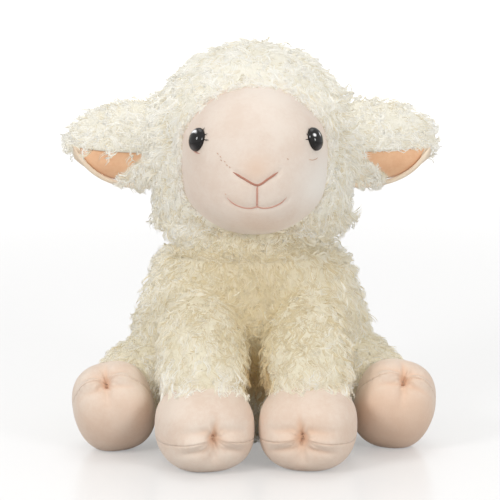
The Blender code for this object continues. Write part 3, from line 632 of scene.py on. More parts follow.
# %% Plastic, yarn and filling finishes
def eye_finish():
    finish = Finish("black_eye", "black_eye")
    speck = finish.noise(finish.places(), 300.0, 2.0)
    colour = finish.mixed(speck, (0.004, 0.004, 0.005, 1), (0.012, 0.009, 0.008, 1))
    # A painted reflection: white where a lamp's window shows, grey where the floor's glow shows.
    colour = finish.with_painted_light(colour, tone(250, 250, 252), tone(104, 98, 98))
    return finish.surface(Base_Color=colour, Roughness=0.05, Specular_IOR_Level=0.35)


def thread_finish(name, slot, pale, deep):
    """Twisted yarn: bands that run round the thread on its own map."""
    finish = Finish(name, slot)
    where = finish.node("ShaderNodeUVMap", {"uv_map": "UVMap"})
    settings = {"wave_type": "BANDS", "bands_direction": "DIAGONAL"}
    twist = finish.node("ShaderNodeTexWave", settings, {"Vector": where, "Scale": 0.5})
    fuzz = finish.noise(finish.places(), 1800.0, 2.0)
    mottle = (twist * 0.6 + fuzz * 0.4).between(0.1, 0.8)
    return finish.surface(
        Base_Color=finish.mixed(mottle, tone(*deep), tone(*pale)),
        Roughness=0.6,
        Sheen_Weight=0.2,
        Normal=finish.bump(twist, 0.5, 0.0003),
    )


def hidden_finish(name, pale, deep, scale, roughness):
    """A plain grain for what the cloth hides."""
    finish = Finish(name)
    grain = finish.noise(finish.places(), scale, 4.0, 0.6)
    colour = finish.mixed(grain, tone(*deep), tone(*pale))
    relief = finish.bump(grain, 0.4, 0.001)
    return finish.surface(Base_Color=colour, Roughness=roughness, Normal=relief)


EYE = eye_finish()
ROSE = thread_finish("rose_yarn", "rose_thread", (198, 138, 116), (158, 100, 80))
SOFT_ROSE = thread_finish("soft_rose_yarn", "rose_thread", (224, 172, 154), (188, 132, 114))
STITCH = thread_finish("blush_yarn", "blush_thread", (226, 188, 160), (196, 150, 120))
HIDDEN = {
    "filling": hidden_finish("white_filling", (244, 238, 220), (228, 219, 194), 260.0, 0.95),
    "bag": hidden_finish("bag_weave", (232, 228, 218), (206, 200, 188), 900.0, 0.9),
    "washer": hidden_finish("washer_plastic", (236, 236, 236), (224, 224, 224), 120.0, 0.45),
}
for node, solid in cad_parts.items():
    for word, finish in HIDDEN.items():
        if word in node:
            solid.data.materials.clear()
            solid.data.materials.append(finish.made)

# %% [markdown]
# ## Locks of fleece
# Long-pile fleece is knitted cloth with bundles of fibre that stand up, lean over and curl. A
# painted bump can't show that at the outline, so each lock is built: a bundle of tapering strands
# round one curling line. Its rise is quick and then levels off, and its lean grows to the tip.

# %% The lines of a lock
RINGS, CORNERS = 6, 3


def lock_lines(roots, normals, lean, length, rise, curl, turns, strands, spread, droop, rng):
    """Centre lines of every strand, as (locks, strands, rings, 3). Height is rise times 1-(1-s)^2
    less a droop, travel is the rest of the length along the lean, and the curl is a helix whose
    radius grows with the square root of s."""
    count = len(roots)
    s = np.linspace(0, 1, RINGS + 1)[None, :, None]

    def drawn(low, span, *shape):
        """Random numbers from low to low + span, one for each lock or strand."""
        return (low + span * rng.random((count, *shape)))[..., None, None]

    size = np.reshape(length, (-1, 1, 1)) * drawn(0.72, 0.5)
    up = np.reshape(rise, (-1, 1, 1)) * drawn(0.65, 0.7)
    phase = drawn(0, 2 * np.pi)
    way = np.where(drawn(0, 1) < 0.5, -1.0, 1.0)
    spin = phase + way * 2 * np.pi * turns * drawn(0.7, 0.6) * s
    radius = curl * drawn(0.6, 0.8) * np.sqrt(s) * (1 - 0.35 * s)
    normal, ahead, side = normals[:, None], lean[:, None], np.cross(normals, lean)[:, None]
    travel = np.sqrt(np.maximum(size**2 - up**2, (0.3 * size) ** 2)) * s**1.25
    centre = roots[:, None] + (up * (1 - (1 - s) ** 2) - droop * size * s**3) * normal
    centre = centre + travel * ahead
    centre = centre + radius * (np.cos(spin) * side + np.sin(spin) * (0.8 * normal + 0.6 * ahead))

    s, normal, ahead, side = s[:, None], normal[:, None], ahead[:, None], side[:, None]
    angle = drawn(0, 2 * np.pi, strands)
    away = spread * np.sqrt(drawn(0, 1, strands))
    own = s * drawn(0.55, 0.55, strands)
    twist = angle + way[:, None] * 2.4 * s
    lines = centre[:, None] + away * (1 - 0.75 * s) * (np.cos(angle) * side + np.sin(angle) * ahead)
    lines = lines + (0.35 + own) * 0.0006 * (np.cos(twist) * side + np.sin(twist) * normal)
    return lines + rng.normal(0, 1, (count, strands, 1, 3)) * 0.0008 * s**2


print("rings on a strand:", RINGS, "and corners in a ring:", CORNERS)

# %% [markdown]
# ## Strands as one mesh
# A piece holds thousands of strands, so all their tubes are worked out at once. The map of each is
# a narrow upright band, whose place across the map is that strand's lightness.

# %% The strands' mesh
BAND = 0.04
LOWEST_FIBRE = 0.0003


def strand_mesh(lines, radius, tones):
    """Closed tapering tubes round many lines at once. The ring's two directions are carried from
    ring to ring, each time made square to the line again, so that a tube doesn't twist. The last
    ring is a point."""
    count, rings = lines.shape[:2]
    ahead = unit_rows(np.gradient(lines, axis=1))
    across = np.zeros_like(lines)
    first = np.cross(ahead[:, 0], np.array((0.31, 0.52, 0.79)))
    for ring in range(rings):
        first = unit_rows(first - (first * ahead[:, ring]).sum(1, keepdims=True) * ahead[:, ring])
        across[:, ring] = first
    other = np.cross(ahead, across)
    s = np.linspace(0, 1, rings)
    width = radius[:, None] * (0.75 + 0.25 * np.sin(np.pi * s)) * (1 - s**4)
    turn = (2 * np.pi * np.arange(CORNERS) / CORNERS)[None, None, :, None]
    section = np.cos(turn) * across[:, :-1, None] + np.sin(turn) * other[:, :-1, None]
    tube_points = lines[:, :-1, None] + width[:, :-1, None, None] * section
    points = np.concatenate([tube_points.reshape(count, -1, 3), lines[:, -1:]], 1)
    points[..., 2] = np.maximum(points[..., 2], LOWEST_FIBRE)

    per = points.shape[1]
    corner, top = np.arange(CORNERS), (rings - 2) * CORNERS
    quads = cells(rings - 1, CORNERS, True)[:, [0, 3, 2, 1]]
    tips = triples(top + corner, top + (corner + 1) % CORNERS, per - 1)
    faces = (quads, np.concatenate([tips, corner[None, ::-1]]))
    ring_of, column = np.repeat(np.arange(rings - 2), CORNERS), np.tile(corner, rings - 2)
    quad_u = (column[:, None] + (0, 1, 1, 0)) / CORNERS
    quad_v = (ring_of[:, None] + (0, 0, 1, 1)) / (rings - 1)
    low = (rings - 2) / (rings - 1)
    tri_u = np.concatenate([(corner[:, None] + (0, 1, 0.5)) / CORNERS, [(0.0, 0.5, 1.0)]])
    tri_v = np.concatenate([np.tile((low, low, 1.0), (CORNERS, 1)), [(0.0, 0.02, 0.0)]])

    start, place = (np.arange(count) * per)[:, None], (tones * (1 - BAND))[:, None]
    corners = np.concatenate([(face.ravel() + start).ravel() for face in faces])
    u = np.concatenate([(place + BAND * part.ravel()).ravel() for part in (quad_u, tri_u)])
    v = np.concatenate([np.tile(part.ravel(), count) for part in (quad_v, tri_v)])
    sizes = np.concatenate([np.full(count * len(face), face.shape[1]) for face in faces])
    mesh = bpy.data.meshes.new("strands")
    mesh.vertices.add(count * per)
    mesh.vertices.foreach_set("co", points.astype(np.float32).ravel())
    mesh.loops.add(len(corners))
    mesh.loops.foreach_set("vertex_index", corners.astype(np.int32))
    mesh.polygons.add(len(sizes))
    starts = np.concatenate([[0], np.cumsum(sizes)[:-1]])
    mesh.polygons.foreach_set("loop_start", starts.astype(np.int32))
    mesh.update(calc_edges=True)
    layer = mesh.uv_layers.new(name=LOCK_MAP)
    uv = np.stack([u, 0.01 + 0.98 * v], 1)
    layer.uv.foreach_set("vector", uv.astype(np.float32).ravel())
    return mesh


print("width of a strand's band on its map:", BAND)

# %% [markdown]
# ## Sowing and combing
# Roots are sown over a skin, and some are kept. Real fleece isn't combed straight: neighbours turn
# together and form whorls, so a smooth random angle, which changes over about 14 mm, turns each
# lock from the way that its cloth was combed.

# %% Sowing and combing
LOCK_DENSITY = 5.0e4


def sown(skin, seed, chosen, per_area=LOCK_DENSITY, depth=PILE):
    """(roots, normals) scattered over a skin, of which chosen, a test of both, keeps some. The
    seed may be a generator that is already in use."""
    roots, normals = skin.scattered(per_area, np.random.default_rng(seed), depth)
    keep = chosen(roots, normals)
    return roots[keep], normals[keep]


def swirl(places, seed, size=0.014):
    """A smooth random angle over space: a sum of waves in fixed random directions."""
    rng = np.random.default_rng(seed)
    total = np.zeros(len(places))
    for _ in range(5):
        wave = unit_rows(rng.normal(0, 1, 3)) * 2 * np.pi / (size * (0.7 + 0.9 * rng.random()))
        total += np.sin(places @ wave + 2 * np.pi * rng.random())
    return total / 2.2


def leaning(normals, towards, places, seed, wander):
    """A comb direction in the cloth: towards a vector, turned about the normal by the swirl."""
    flat = towards - (towards * normals).sum(1, keepdims=True) * normals
    flat = unit_rows(flat + 1e-6)
    angle = (wander * swirl(places, seed))[:, None]
    return unit_rows(np.cos(angle) * flat + np.sin(angle) * np.cross(normals, flat))


print("locks on a square centimetre:", LOCK_DENSITY / 1e4)

# %% [markdown]
# ## Light in the fleece
# Fine fibre passes light on, so real fleece has no hard shadows: it is warmer where it is
# sheltered, and pale where it is open. So the locks neither shade each other nor bounce light, and
# their shade is painted into how light each one is, by where it grows.

# %% Growing the locks
LOCKS = {
    "length": 0.0145, "rise": 0.0034, "curl": 0.0028, "turns": 1.35, "strands": 5, "spread": 0.0024,
    "droop": 0.05,
}
FIBRE_RADIUS = 0.00031
# Each body's plain lightness: the head and ears are paler, and the left legs are painted darker, as
# shade on the side away from the key lamp.
LIGHTNESS = {
    "head": 0.92, "ear_left": 0.95, "ear_right": 0.95, "foreleg_left": 0.64, "hind_leg_left": 0.70,
}
PLAIN_LIGHTNESS, LOCK_SPREAD, STRAND_SPREAD, DARKEST = 0.76, 0.10, 0.12, 0.22
totals = {"locks": 0, "triangles": 0}


def shade_between_forelegs(places):
    """1 deep in the narrow gap between the forelegs, where warm painted shade darkens the fleece."""
    x, y, z = np.abs(places[:, 0]), places[:, 1], places[:, 2]
    inside = ramp(-x, -0.015, -0.007) * ramp(-y, 0.02, 0.04)
    return inside * ramp(-z, -0.095, -0.055) * ramp(z, 0.028, 0.044)


def sheltered(places):
    """How far a place is kept from the light, for the painted shade of the fleece: the chest under
    the chin, and the band round the neck where the cloth folds in."""
    x, y, z = places.T
    chest = hill(np.hypot(x / 1.3, z - 0.102), 0.038)
    return np.minimum((chest + 0.3 * hill(z - 0.136, 0.02)) * ramp(-y, 0.0, 0.03), 1)


def light_at(roots, body):
    """Painted light and shade in a lock's lightness: lighter on the crown, on the back and low on the
    forelegs; darker where it is sheltered and at the hood's hem."""
    lit = 0.12 * ramp(roots[:, 2], 0.235, 0.265) + 0.1 * ramp(roots[:, 1], 0.0, 0.05)
    lit -= 0.60 * sheltered(roots)
    if body == "head":
        lit -= 0.20 * ramp(-roots[:, 2], -0.172, -0.146)
    if "foreleg" in body:
        lit += 0.16 * ramp(-roots[:, 2], -0.085, -0.045)
    return lit


def grow(name, body, roots, normals, towards, comb, seed, **changes):
    """One piece of locks, combed towards a direction. comb is the whorls' seed and how far they
    turn a lock, and changes are this piece's own sizes."""
    rng = np.random.default_rng(seed)
    lean = leaning(normals, towards, roots, *comb)
    lines = lock_lines(roots, normals, lean, rng=rng, **{**LOCKS, **changes})
    locks, strands = lines.shape[:2]
    lines = lines.reshape(-1, RINGS + 1, 3)
    radius = FIBRE_RADIUS * (0.75 + 0.5 * rng.random(len(lines)))
    plain = LIGHTNESS.get(body, PLAIN_LIGHTNESS)
    # A lock's lightness: a random tone plus painted light and shade by where it grows, and painted
    # shade in the gap between the forelegs.
    tones = rng.normal(plain, LOCK_SPREAD, locks) + light_at(roots, body)
    tones = np.repeat(tones, strands) + rng.normal(0, STRAND_SPREAD, len(lines))
    tones = np.clip(tones, DARKEST, 1) * (1 - np.repeat(shade_between_forelegs(roots), strands))
    made = piece(name, strand_mesh(lines, radius, tones), body, CURLY)
    made.visible_shadow = made.visible_diffuse = False
    totals["locks"] += locks
    totals["triangles"] += len(lines) * (2 * CORNERS * (RINGS - 1) + CORNERS + 1)


def grow_round(name, body, roots, normals, towards, comb, seed, sectors=4, **changes):
    """Locks all round a body, cut into sectors about Z so that each piece stays light."""
    turn = np.arctan2(roots[:, 1], roots[:, 0]) / (2 * np.pi) % 1
    for sector in range(sectors):
        part = (turn * sectors).astype(int) == sector
        own = (roots[part], normals[part], towards[part])
        grow(f"{name}_{sector + 1}", body, *own, comb, seed + sector, **changes)


print("strands in a lock:", LOCKS["strands"])

# %% [markdown]
# ## Body
# The body's fleece hangs down and outwards. Locks leave out the neck's seat, the floor and what the
# limbs cover deeply, and their roots are spread evenly over the cloth.

# %% The body's cloth and locks
def near_line(places, start, end, radius, overlap=0.1):
    """Which places lie inside a rounded sleeve between two points."""
    line = end - start
    share = np.clip(((places - start) @ line) / (line @ line), -overlap, 1 + overlap)
    return np.linalg.norm(places - start - share[:, None] * line, axis=1) < radius


def on_body(roots, normals):
    """Off the neck's seat, above the floor and outside the legs' sleeves."""
    off = from_axis(roots)
    keep = (off > 0.040) & ((normals[:, 2] < 0.8) | (off < 0.048)) | (roots[:, 2] < 0.12)
    keep &= roots[:, 2] > 0.004
    for side, _ in SIDES:
        for root, ankle, deep in ((SHOULDER, FOREFOOT_ANKLE, 0.013), (HIP, HIND_FOOT_ANKLE, 0.019)):
            keep &= ~near_line(roots, root * (side, 1, 1), ankle * (side, 1, 1), deep)
    return keep


# The body's backing gets painted shade: warm in the gap between the forelegs, under the chin and
# round the neck.
body_skin.with_painted_light(np.maximum(shade_between_forelegs(body_skin.flat), 0.45 * sheltered(body_skin.flat)))
cover("body_backing", closed_skin(body_skin, PILE), "body", BACKING, "body_skin")
roots, normals = sown(body_skin, 11, on_body)
downwards = triples(0.5 * np.clip(roots[:, 0] / 0.05, -1, 1), -0.15, -1.0)
grow_round("body_locks", "body", roots, normals, downwards, (21, 0.85), 31)

# %% [markdown]
# ## Head
# The hood's fleece falls from the crown, forwards over the top of the face and backwards beside it.
# At the hem it hangs over the neck, in longer locks that hide the seam at every nod.

# %% The head's cloth and locks
CROWN = np.array((0.0, 0.012, 0.27))
FACE_MARGIN, HEM_RADIUS = 0.0012, 0.046


def inside_face(places):
    """Which places lie inside the face, made larger all round by a margin."""
    local = places - FACE_CENTRE
    width = eased(FACE_SHARES, (1 + local[:, 2] / FACE_HALF[2]) / 2)[0]
    half = FACE_HALF * triples(width, 1.0, 1.0) + FACE_MARGIN
    return ((np.abs(local) / half) ** FACE_FULLNESS).sum(1) < 1


def on_head(roots, normals):
    """Outside the face, and not over the neck."""
    return ~inside_face(roots) & ((from_axis(roots) > HEM_RADIUS) | (roots[:, 2] > 0.18))


def on_hem(roots, normals):
    """The hood's lower edge: where it faces down, round the neck."""
    return (normals[:, 2] < -0.3) & (from_axis(roots) > HEM_RADIUS) & ~inside_face(roots)


# The hood's backing is painted darker towards its hem, as the shade under the head.
head_skin.with_painted_light(0.35 * ramp(-head_skin.places[..., 2], -0.170, -0.146))
cover("head_backing", closed_skin(head_skin, PILE), "head", PALE_BACKING, "head_skin")
roots, normals = sown(head_skin, 12, on_head)
fallen = roots - CROWN
fallen[:, 2] = -0.5 * np.abs(fallen[:, 2]) - 0.02
grow_round("head_locks", "head", roots, normals, fallen, (22, 1.0), 41, rise=0.0030)

roots, normals = sown(head_skin, 17, on_hem, per_area=6.0e4)
outwards = roots * (1, 1, 0) - (0, 0, 0.05)
hem = {"length": 0.0155, "rise": 0.0105, "droop": 0.20}
grow("hem_locks", "head", roots, normals, outwards, (27, 1.0), 45, **hem)

# %% [markdown]
# ## Legs and tail
# Each limb is a fleece sleeve whose locks hang towards the foot. Where a sleeve goes deep into the
# body it stays bare. The thighs lie on the floor, pressed flat, so their locks are shorter.

# %% The sleeves and the tail
LIMBS = []
for side, word in SIDES:
    for kind, form, root, ankle in (
        ("foreleg", FORELEG_FORM, SHOULDER, FOREFOOT_ANKLE),
        ("hind_leg", HIND_LEG_FORM, HIP, HIND_FOOT_ANKLE),
    ):
        way = (ankle - root) * (side, 1, 1)
        LIMBS.append((kind, f"{kind}_{word}", f"{kind}_skin_{word}", mirrored(form, side), way))
LIMBS.append(("tail", "tail", "tail_skin", TAIL_FORM, np.array((0, 0.036, -0.025))))
COATS = {
    "foreleg": (PILE, 0.80, {}),
    "hind_leg": (0.0048, 0.86, {"length": 0.0100, "rise": 0.0018, "curl": 0.0018}),
    "tail": (0.003, 0.80, {}),
}
sleeves = {}
for number, (kind, body, node, form, way) in enumerate(LIMBS):
    pile, bare_to, changes = COATS[kind]

    def on_limb(roots, normals):
        """Out of the body and above the floor."""
        return (body_reach(roots) > bare_to) & (roots[:, 2] > 0.003)

    sleeves[body] = Skin(form, 40, 60)
    cover(f"{body}_backing", closed_skin(sleeves[body], pile), body, BACKING, node)
    roots, normals = sown(sleeves[body], 60 + number, on_limb, depth=pile)
    towards = way + (0, 0, -0.02)
    comb = (70 + number, 0.8)
    grow(f"{body}_locks", body, roots, normals, towards, comb, 80 + number, **changes)

# %% [markdown]
# ## Face
# The face is a velour dome that stands out of the hood. Stuffing pushes out the muzzle under the
# nose threads, and the stitches pull small hollows into it. Its tint is warm over the nose, on the
# chin, beside the lips and on one cheek, and pale on the forehead. Painted shadow of the hood's edge
# lies along the brow, and painted light makes the cheek that faces the light pale.

# %% The face
def face_relief(across, up):
    """How far the cloth stands out at shares of the half sizes: hills for the nose and lips,
    hollows along the stitches."""
    beside = np.abs(across)
    nose = hill(np.hypot(across / 1.2, up - 0.10), 0.22)
    lips = sum(hill(np.hypot(across + shift, up + 0.20), 0.22) for shift in (-0.22, 0.22))
    fold_and_painted_light = -0.0012 * hill(across, 0.045) * ramp(-up, 0.06, 0.12) * ramp(up, -0.46, -0.38)
    crease_and_painted_light = -0.0010 * hill(up - (-0.08 + 0.46 * beside), 0.05) * ramp(-beside, -0.4, -0.28)
    smile = -0.0009 * hill(up - (-0.435 + 0.62 * beside**2), 0.05) * ramp(-beside, -0.52, -0.42)
    return 0.0016 * (nose + lips) + fold_and_painted_light + crease_and_painted_light + smile


def face_form(units):
    """A fuller ball, wide at the cheeks and narrower at the brow, that tucks in at the front, with
    the relief added forwards."""
    full = fuller(units, FACE_FULLNESS)
    width = eased(FACE_SHARES, (1 + full[:, 2]) / 2)[0]
    forward = np.maximum(0, -full[:, 1])
    tuck = FACE_TUCK * forward**2 * (1 - full[:, 2] ** 2)
    relief = face_relief(width * full[:, 0], full[:, 2]) * ramp(forward, 0.2, 0.6)
    local = FACE_HALF * triples(width, 1.0, 1.0) * full - triples(0.0, relief, tuck)
    return FACE_CENTRE + local


def face_tint_and_painted_light(units):
    """Above 0 where the velour is tinted warm, below 0 where it is pale: along the brow the warmth is
    painted shadow of the hood's edge, and on the cheek that faces the light the paleness is painted
    light.
    """
    x, y, z = fuller(units, FACE_FULLNESS).T
    warm = 0.42 * hill(np.hypot(x / 1.4, z - 0.13), 0.22)
    warm += 0.30 * hill(np.hypot(x / 1.8, z + 0.70), 0.24)
    warm += 0.20 * hill(np.hypot(x + 0.25, z + 0.30), 0.16)
    warm += 0.14 * hill(np.hypot(x + 0.75, z + 0.2), 0.35)
    # Painted shadow of the hood's edge along the brow.
    brow = 0.55 * hill(head_reach(face_form(units)) - 1.015, 0.022)
    brow = brow * ramp(z, 0.1, 0.5) * ramp(-x, -0.35, 0.0)
    # Painted light on the cheek that faces the light, and the forehead made pale too.
    cool = 0.7 * hill(np.hypot(x - 0.95, z + 0.22), 0.50)
    cool += 0.25 * hill(np.hypot(x - 0.2, z - 0.9), 0.5)
    return np.clip(warm * ramp(-y, 0.1, 0.4) + brow - cool, -1, 1)


face_skin = Skin(face_form, 100, 150, "Y", polar=(math.pi, math.acos(FACE_END)))
face_skin.with_painted_light(face_tint_and_painted_light(face_skin.units))
cover("face_velour", shell(face_skin), "head", FACE_NAP, "face_panel", fill=0.9)

# %% [markdown]
# ## Fringe and temples
# Where the hood meets the face, short locks lie over the edge of the velour. Longer ones lean out
# from the temples, so that the head's fleece runs into the ears without a step.

# %% The fringe and the temples
fringe_rng = np.random.default_rng(14)


def at_brow(roots, normals):
    """A ragged band where the face goes into the hood, down to the cheeks."""
    reach = head_reach(roots)
    ragged = 1.012 + 0.012 * fringe_rng.random(len(roots))
    return (reach > 0.93) & (reach < ragged) & (roots[:, 2] > 0.168)


def at_temple(roots, normals):
    """An oval round each ear's root."""
    off_ear = np.hypot((roots[:, 1] - EAR_CENTRE[1]) / 0.028, (roots[:, 2] - 0.213) / 0.030)
    return (off_ear < 1) & (np.abs(roots[:, 0]) > 0.04)


roots, normals = sown(face_skin, fringe_rng, at_brow, per_area=1.3e5, depth=0.0004)
inward = (FACE_CENTRE - roots) * (1, 0, 1)
fringe = {"length": 0.0085, "rise": 0.0028, "curl": 0.0014, "spread": 0.0018}
grow("fringe_locks", "head", roots, normals, inward, (24, 1.3), 55, **fringe)

roots, normals = sown(head_skin, 15, at_temple, per_area=4.5e4)
outward = triples(np.sign(roots[:, 0]), 0.0, (roots[:, 2] - 0.222) * 12)
temples = {"length": 0.018, "rise": 0.0105, "droop": 0.15}
grow("temple_locks", "head", roots, normals, outward, (25, 0.8), 57, **temples)

# %% [markdown]
# ## Neck
# The head turns on a firm ball of filling. The fleece hides it, so the ball wears the fleece's
# backing and has its own locks, and a ruff grows on the body round it. Together they fill the gap
# between the hood and the shoulders at every turn.

# %% The neck's cover, its locks and the ruff
NECK_PLACE = np.array((0.0, 0.0, NECK_HEIGHT))


def on_neck(roots, normals):
    """A band of the ball between the shoulders and the hood."""
    return (roots[:, 2] > NECK_HEIGHT - 0.004) & (roots[:, 2] < NECK_HEIGHT + 0.011)


def on_ruff(roots, normals):
    """A band of the shoulders round the neck, where they face up."""
    far = np.hypot(roots[:, 0], roots[:, 1] / 0.8)
    return (far > 0.040) & (normals[:, 2] > 0.35) & (roots[:, 2] > 0.116)


neck_skin = Skin(lambda units: NECK_PLACE + NECK_RADIUS * units, 40, 72)
cover("neck_backing", closed_skin(neck_skin), "neck", BACKING, "neck_filling", fill=0.9)
roots, normals = sown(neck_skin, 13, on_neck, per_area=9.0e4, depth=0.001)
straight_down = np.array((0.0, 0.0, -1.0))
nape = {"length": 0.0140, "rise": 0.0080, "spread": 0.003, "droop": 0.35}
grow("neck_locks", "neck", roots, normals, straight_down, (23, 0.8), 51, **nape)

roots, normals = sown(body_skin, 16, on_ruff, per_area=6.0e4)
outwards = roots * (1, 1, 0) + (0, 0, 0.004)
ruff = {"length": 0.0135, "rise": 0.0078, "droop": 0.38}
grow("ruff_locks", "body", roots, normals, outwards, (26, 1.0), 53, **ruff)

# %% [markdown]
# ## Tubes
# Yarn, rims and lashes are all tubes: a round or flattened section that is carried along a path.
# The section's flat side lies against the cloth, so the cloth's normals come in with the path.

# %% The tube builder
def smooth_path(points, count):
    """A curve through the points: each coordinate is a cubic between neighbours, with slopes taken
    from both sides."""
    points = np.array(points, float)
    at = np.linspace(0, len(points) - 1, count)
    low = np.minimum(at.astype(int), len(points) - 2)
    share = (at - low)[:, None]
    slopes = np.gradient(points, axis=0)
    square, cube = share**2, share**3
    return (
        (2 * cube - 3 * square + 1) * points[low]
        + (cube - 2 * square + share) * slopes[low]
        + (3 * square - 2 * cube) * points[low + 1]
        + (cube - square) * slopes[low + 1]
    )


def tapered(count, slope, least):
    """1 in the middle of a path, falling at a slope to the least at both ends."""
    share = np.linspace(0, 1, count)
    return np.minimum(1, slope * np.minimum(share, share[::-1]) + least)


def tube(path, facing, radius, flat=1.0, sides=10, lift=0.4):
    """A closed tube: radius times (cos across, flat times sin facing), with both ends drawn to a
    point. Its map runs round it in u and along it in v, in multiples of the radius."""
    ahead = unit_rows(np.gradient(path, axis=0))
    facing = unit_rows(facing - (facing * ahead).sum(1, keepdims=True) * ahead)
    across = np.cross(ahead, facing)
    radius = np.broadcast_to(radius, len(path))[:, None, None]
    turn = (2 * np.pi * np.arange(sides) / sides)[None, :, None]
    section = np.cos(turn) * across[:, None] + flat * np.sin(turn) * facing[:, None]
    middle = path + lift * radius[:, 0] * flat * facing
    rings = middle[:, None] + radius * section
    points = np.concatenate([middle[:1], rings.reshape(-1, 3), middle[-1:]])
    column, last = np.arange(sides), len(points) - 1
    after, top = (column + 1) % sides, last - sides
    quads = cells(len(path), sides, True, 1)[:, ::-1]
    caps = [triples(0, 1 + after, 1 + column), triples(last, top + column, top + after)]
    mesh = bpy.data.meshes.new("tube")
    mesh.from_pydata(points.tolist(), [], quads.tolist() + np.concatenate(caps).tolist())

    corner = np.concatenate([quads.ravel(), *[cap.ravel() for cap in caps]])
    steps = np.linalg.norm(np.diff(middle, axis=0), axis=1)
    run = np.concatenate([[0], np.cumsum(steps)]) / radius.mean()
    ring = np.clip((corner - 1) // sides, 0, len(path) - 1)
    uv = np.stack([(corner - 1) % sides / sides, run[ring]], 1)
    closing = np.zeros(len(corner), bool)
    closing[: 4 * len(quads)] = np.repeat(np.tile(column == sides - 1, len(path) - 1), 4)
    uv[closing & (uv[:, 0] == 0), 0] = 1.0
    layer = mesh.uv_layers.new(name="UVMap")
    layer.uv.foreach_set("vector", uv.astype(np.float32).ravel())
    mesh.shade_smooth()
    return mesh


print("a path of 5 points:", smooth_path([(0, 0), (1, 1), (2, 0)], 5).round(2).tolist())

# %% [markdown]
# ## Ears
# Each ear is a leaf of fleece, folded so that it opens forwards and down. Inside is a smooth lining
# of apricot velour, sunk a little, and its lower edge is rolled into a pale rim. Angles round the
# ear are measured from the back over the top, so its mouth lies between EAR_OPEN and EAR_CLOSE.

# %% The ears' forms
EAR_OPEN, EAR_CLOSE = math.radians(192), math.radians(258)
EAR_TIP, EAR_ROOT = math.radians(34), math.radians(140)
LINING_INSET, LINING_RISE = 0.0055, 0.0034


def ear_units(polar, turn):
    """Points of the unit ball at angles from the ear's tip and round its length."""
    return triples(np.cos(polar), np.sin(polar) * np.cos(turn), np.sin(polar) * np.sin(turn))


def turn_of(units):
    """The angle round the ear's length, from the back over the top."""
    return np.arctan2(units[:, 2], units[:, 1]) % (2 * np.pi)


def lining_form(side):
    """The ear's leaf, smaller all round, and fuller where it looks out of the mouth."""
    leaf = ear_form(side, LINING_INSET)

    def form(units):
        turn, off_axis = turn_of(units), np.hypot(units[:, 1], units[:, 2])
        in_mouth = ramp(turn, EAR_OPEN - 0.05, EAR_OPEN + 0.55)
        in_mouth = in_mouth * (1 - ramp(turn, EAR_CLOSE - 0.02, EAR_CLOSE + 0.12))
        away = units * (0.2, 1, 1) / np.maximum(off_axis, 0.05)[:, None] * (side, 1, 1)
        return leaf(units) + (LINING_RISE * in_mouth * ramp(off_axis, 0.25, 0.75))[:, None] * away

    return form


def rim_turn(along):
    """Where the rolled rim lies round the ear, from the mouth's tip, 0, to its root, 1."""
    return EAR_OPEN + (EAR_CLOSE - EAR_OPEN) * (1 - (1 - np.clip(1.5 * along, 0, 1)) ** 3)


def brim_form(side):
    """The leaf's underside between the rolled rim and the fleece of its back."""

    def form(units):
        polar = np.arccos(np.clip(units[:, 0], -1, 1))
        share = (turn_of(units) - EAR_OPEN) / (EAR_CLOSE - EAR_OPEN)
        edge = rim_turn((polar - EAR_TIP) / (EAR_ROOT - EAR_TIP))
        return ear_form(side)(ear_units(polar, edge + (EAR_CLOSE + 0.04 - edge) * share))

    return form


print("the mouth opens over", round(math.degrees(EAR_CLOSE - EAR_OPEN)), "degrees")

# %% [markdown]
# ## The ears' cloth
# The back, the tip and the brim under the rim are shells, the lining is a closed skin, and the rim
# is a tube along the mouth's lower edge. The lining turns paler towards its root.

# %% The ears' cloth
def ear_cloth(side, word, body):
    """One ear's back, lining, rim, brim and tip. Returns the skins that its locks grow on."""
    leaf = {"form": ear_form(side), "pole": "X", "closed": False}
    back_turn = (EAR_CLOSE - 2 * math.pi, EAR_OPEN)
    outside = Skin(along=36, around=64, turn=back_turn, **leaf)
    walls = shell(outside, EAR_PILE, LINING_INSET)
    cover(f"{body}_backing", walls, body, PALE_BACKING, f"ear_back_{word}")

    inside = Skin(lining_form(side), 56, 72, "X")
    # The lining's colour turns paler towards its root.
    below = np.maximum(0.199 - inside.flat[:, 2], 0)
    at_root = inside.flat[:, 0] * side - EAR_CENTRE[0] - 1.2 * below
    inside.with_painted_light(-ramp(-at_root, -0.001, 0.006))
    lining = closed_skin(inside)
    cover(f"{body}_lining", lining, body, APRICOT, f"ear_lining_{word}", fill=0.9)

    along = np.linspace(0, 1, 60)
    units = ear_units(EAR_TIP + (EAR_ROOT - EAR_TIP) * along, rim_turn(along))
    path, middle = ear_form(side, -0.0004)(units), EAR_CENTRE * (side, 1, 1)
    facing = unit_rows(path - middle - (path - middle) * (0.6, 0, 0))
    thickness = np.minimum(1, 12 * along + 0.2) * np.minimum(1, 6 * (1 - along) + 0.2)
    piece(f"{body}_rim", tube(path, facing, 0.0017 * thickness, sides=12, lift=0), body, RIM)

    brim_span = {"polar": (EAR_TIP - 0.1, 1.75), "turn": (EAR_OPEN, EAR_CLOSE)}
    brim = Skin(brim_form(side), 30, 12, "X", closed=False, **brim_span)
    cover(f"{body}_brim", shell(brim, 0.0024, 0.0040), body, RIM)

    tip_span = {"polar": (0.0, EAR_TIP + 0.06), "turn": (EAR_OPEN - 0.05, EAR_CLOSE + 0.05)}
    tip = Skin(along=14, around=24, **tip_span, **leaf)
    cover(f"{body}_tip", shell(tip, EAR_PILE, LINING_INSET), body, PALE_BACKING)
    return outside, tip, inside


print("the lining lies", LINING_INSET, "m inside the leaf")

# %% [markdown]
# ## The ears' locks
# The outside's locks lean to the tip, and are cut shorter where they would hang over the lining. A
# few soft ones grow out of the mouth's root.

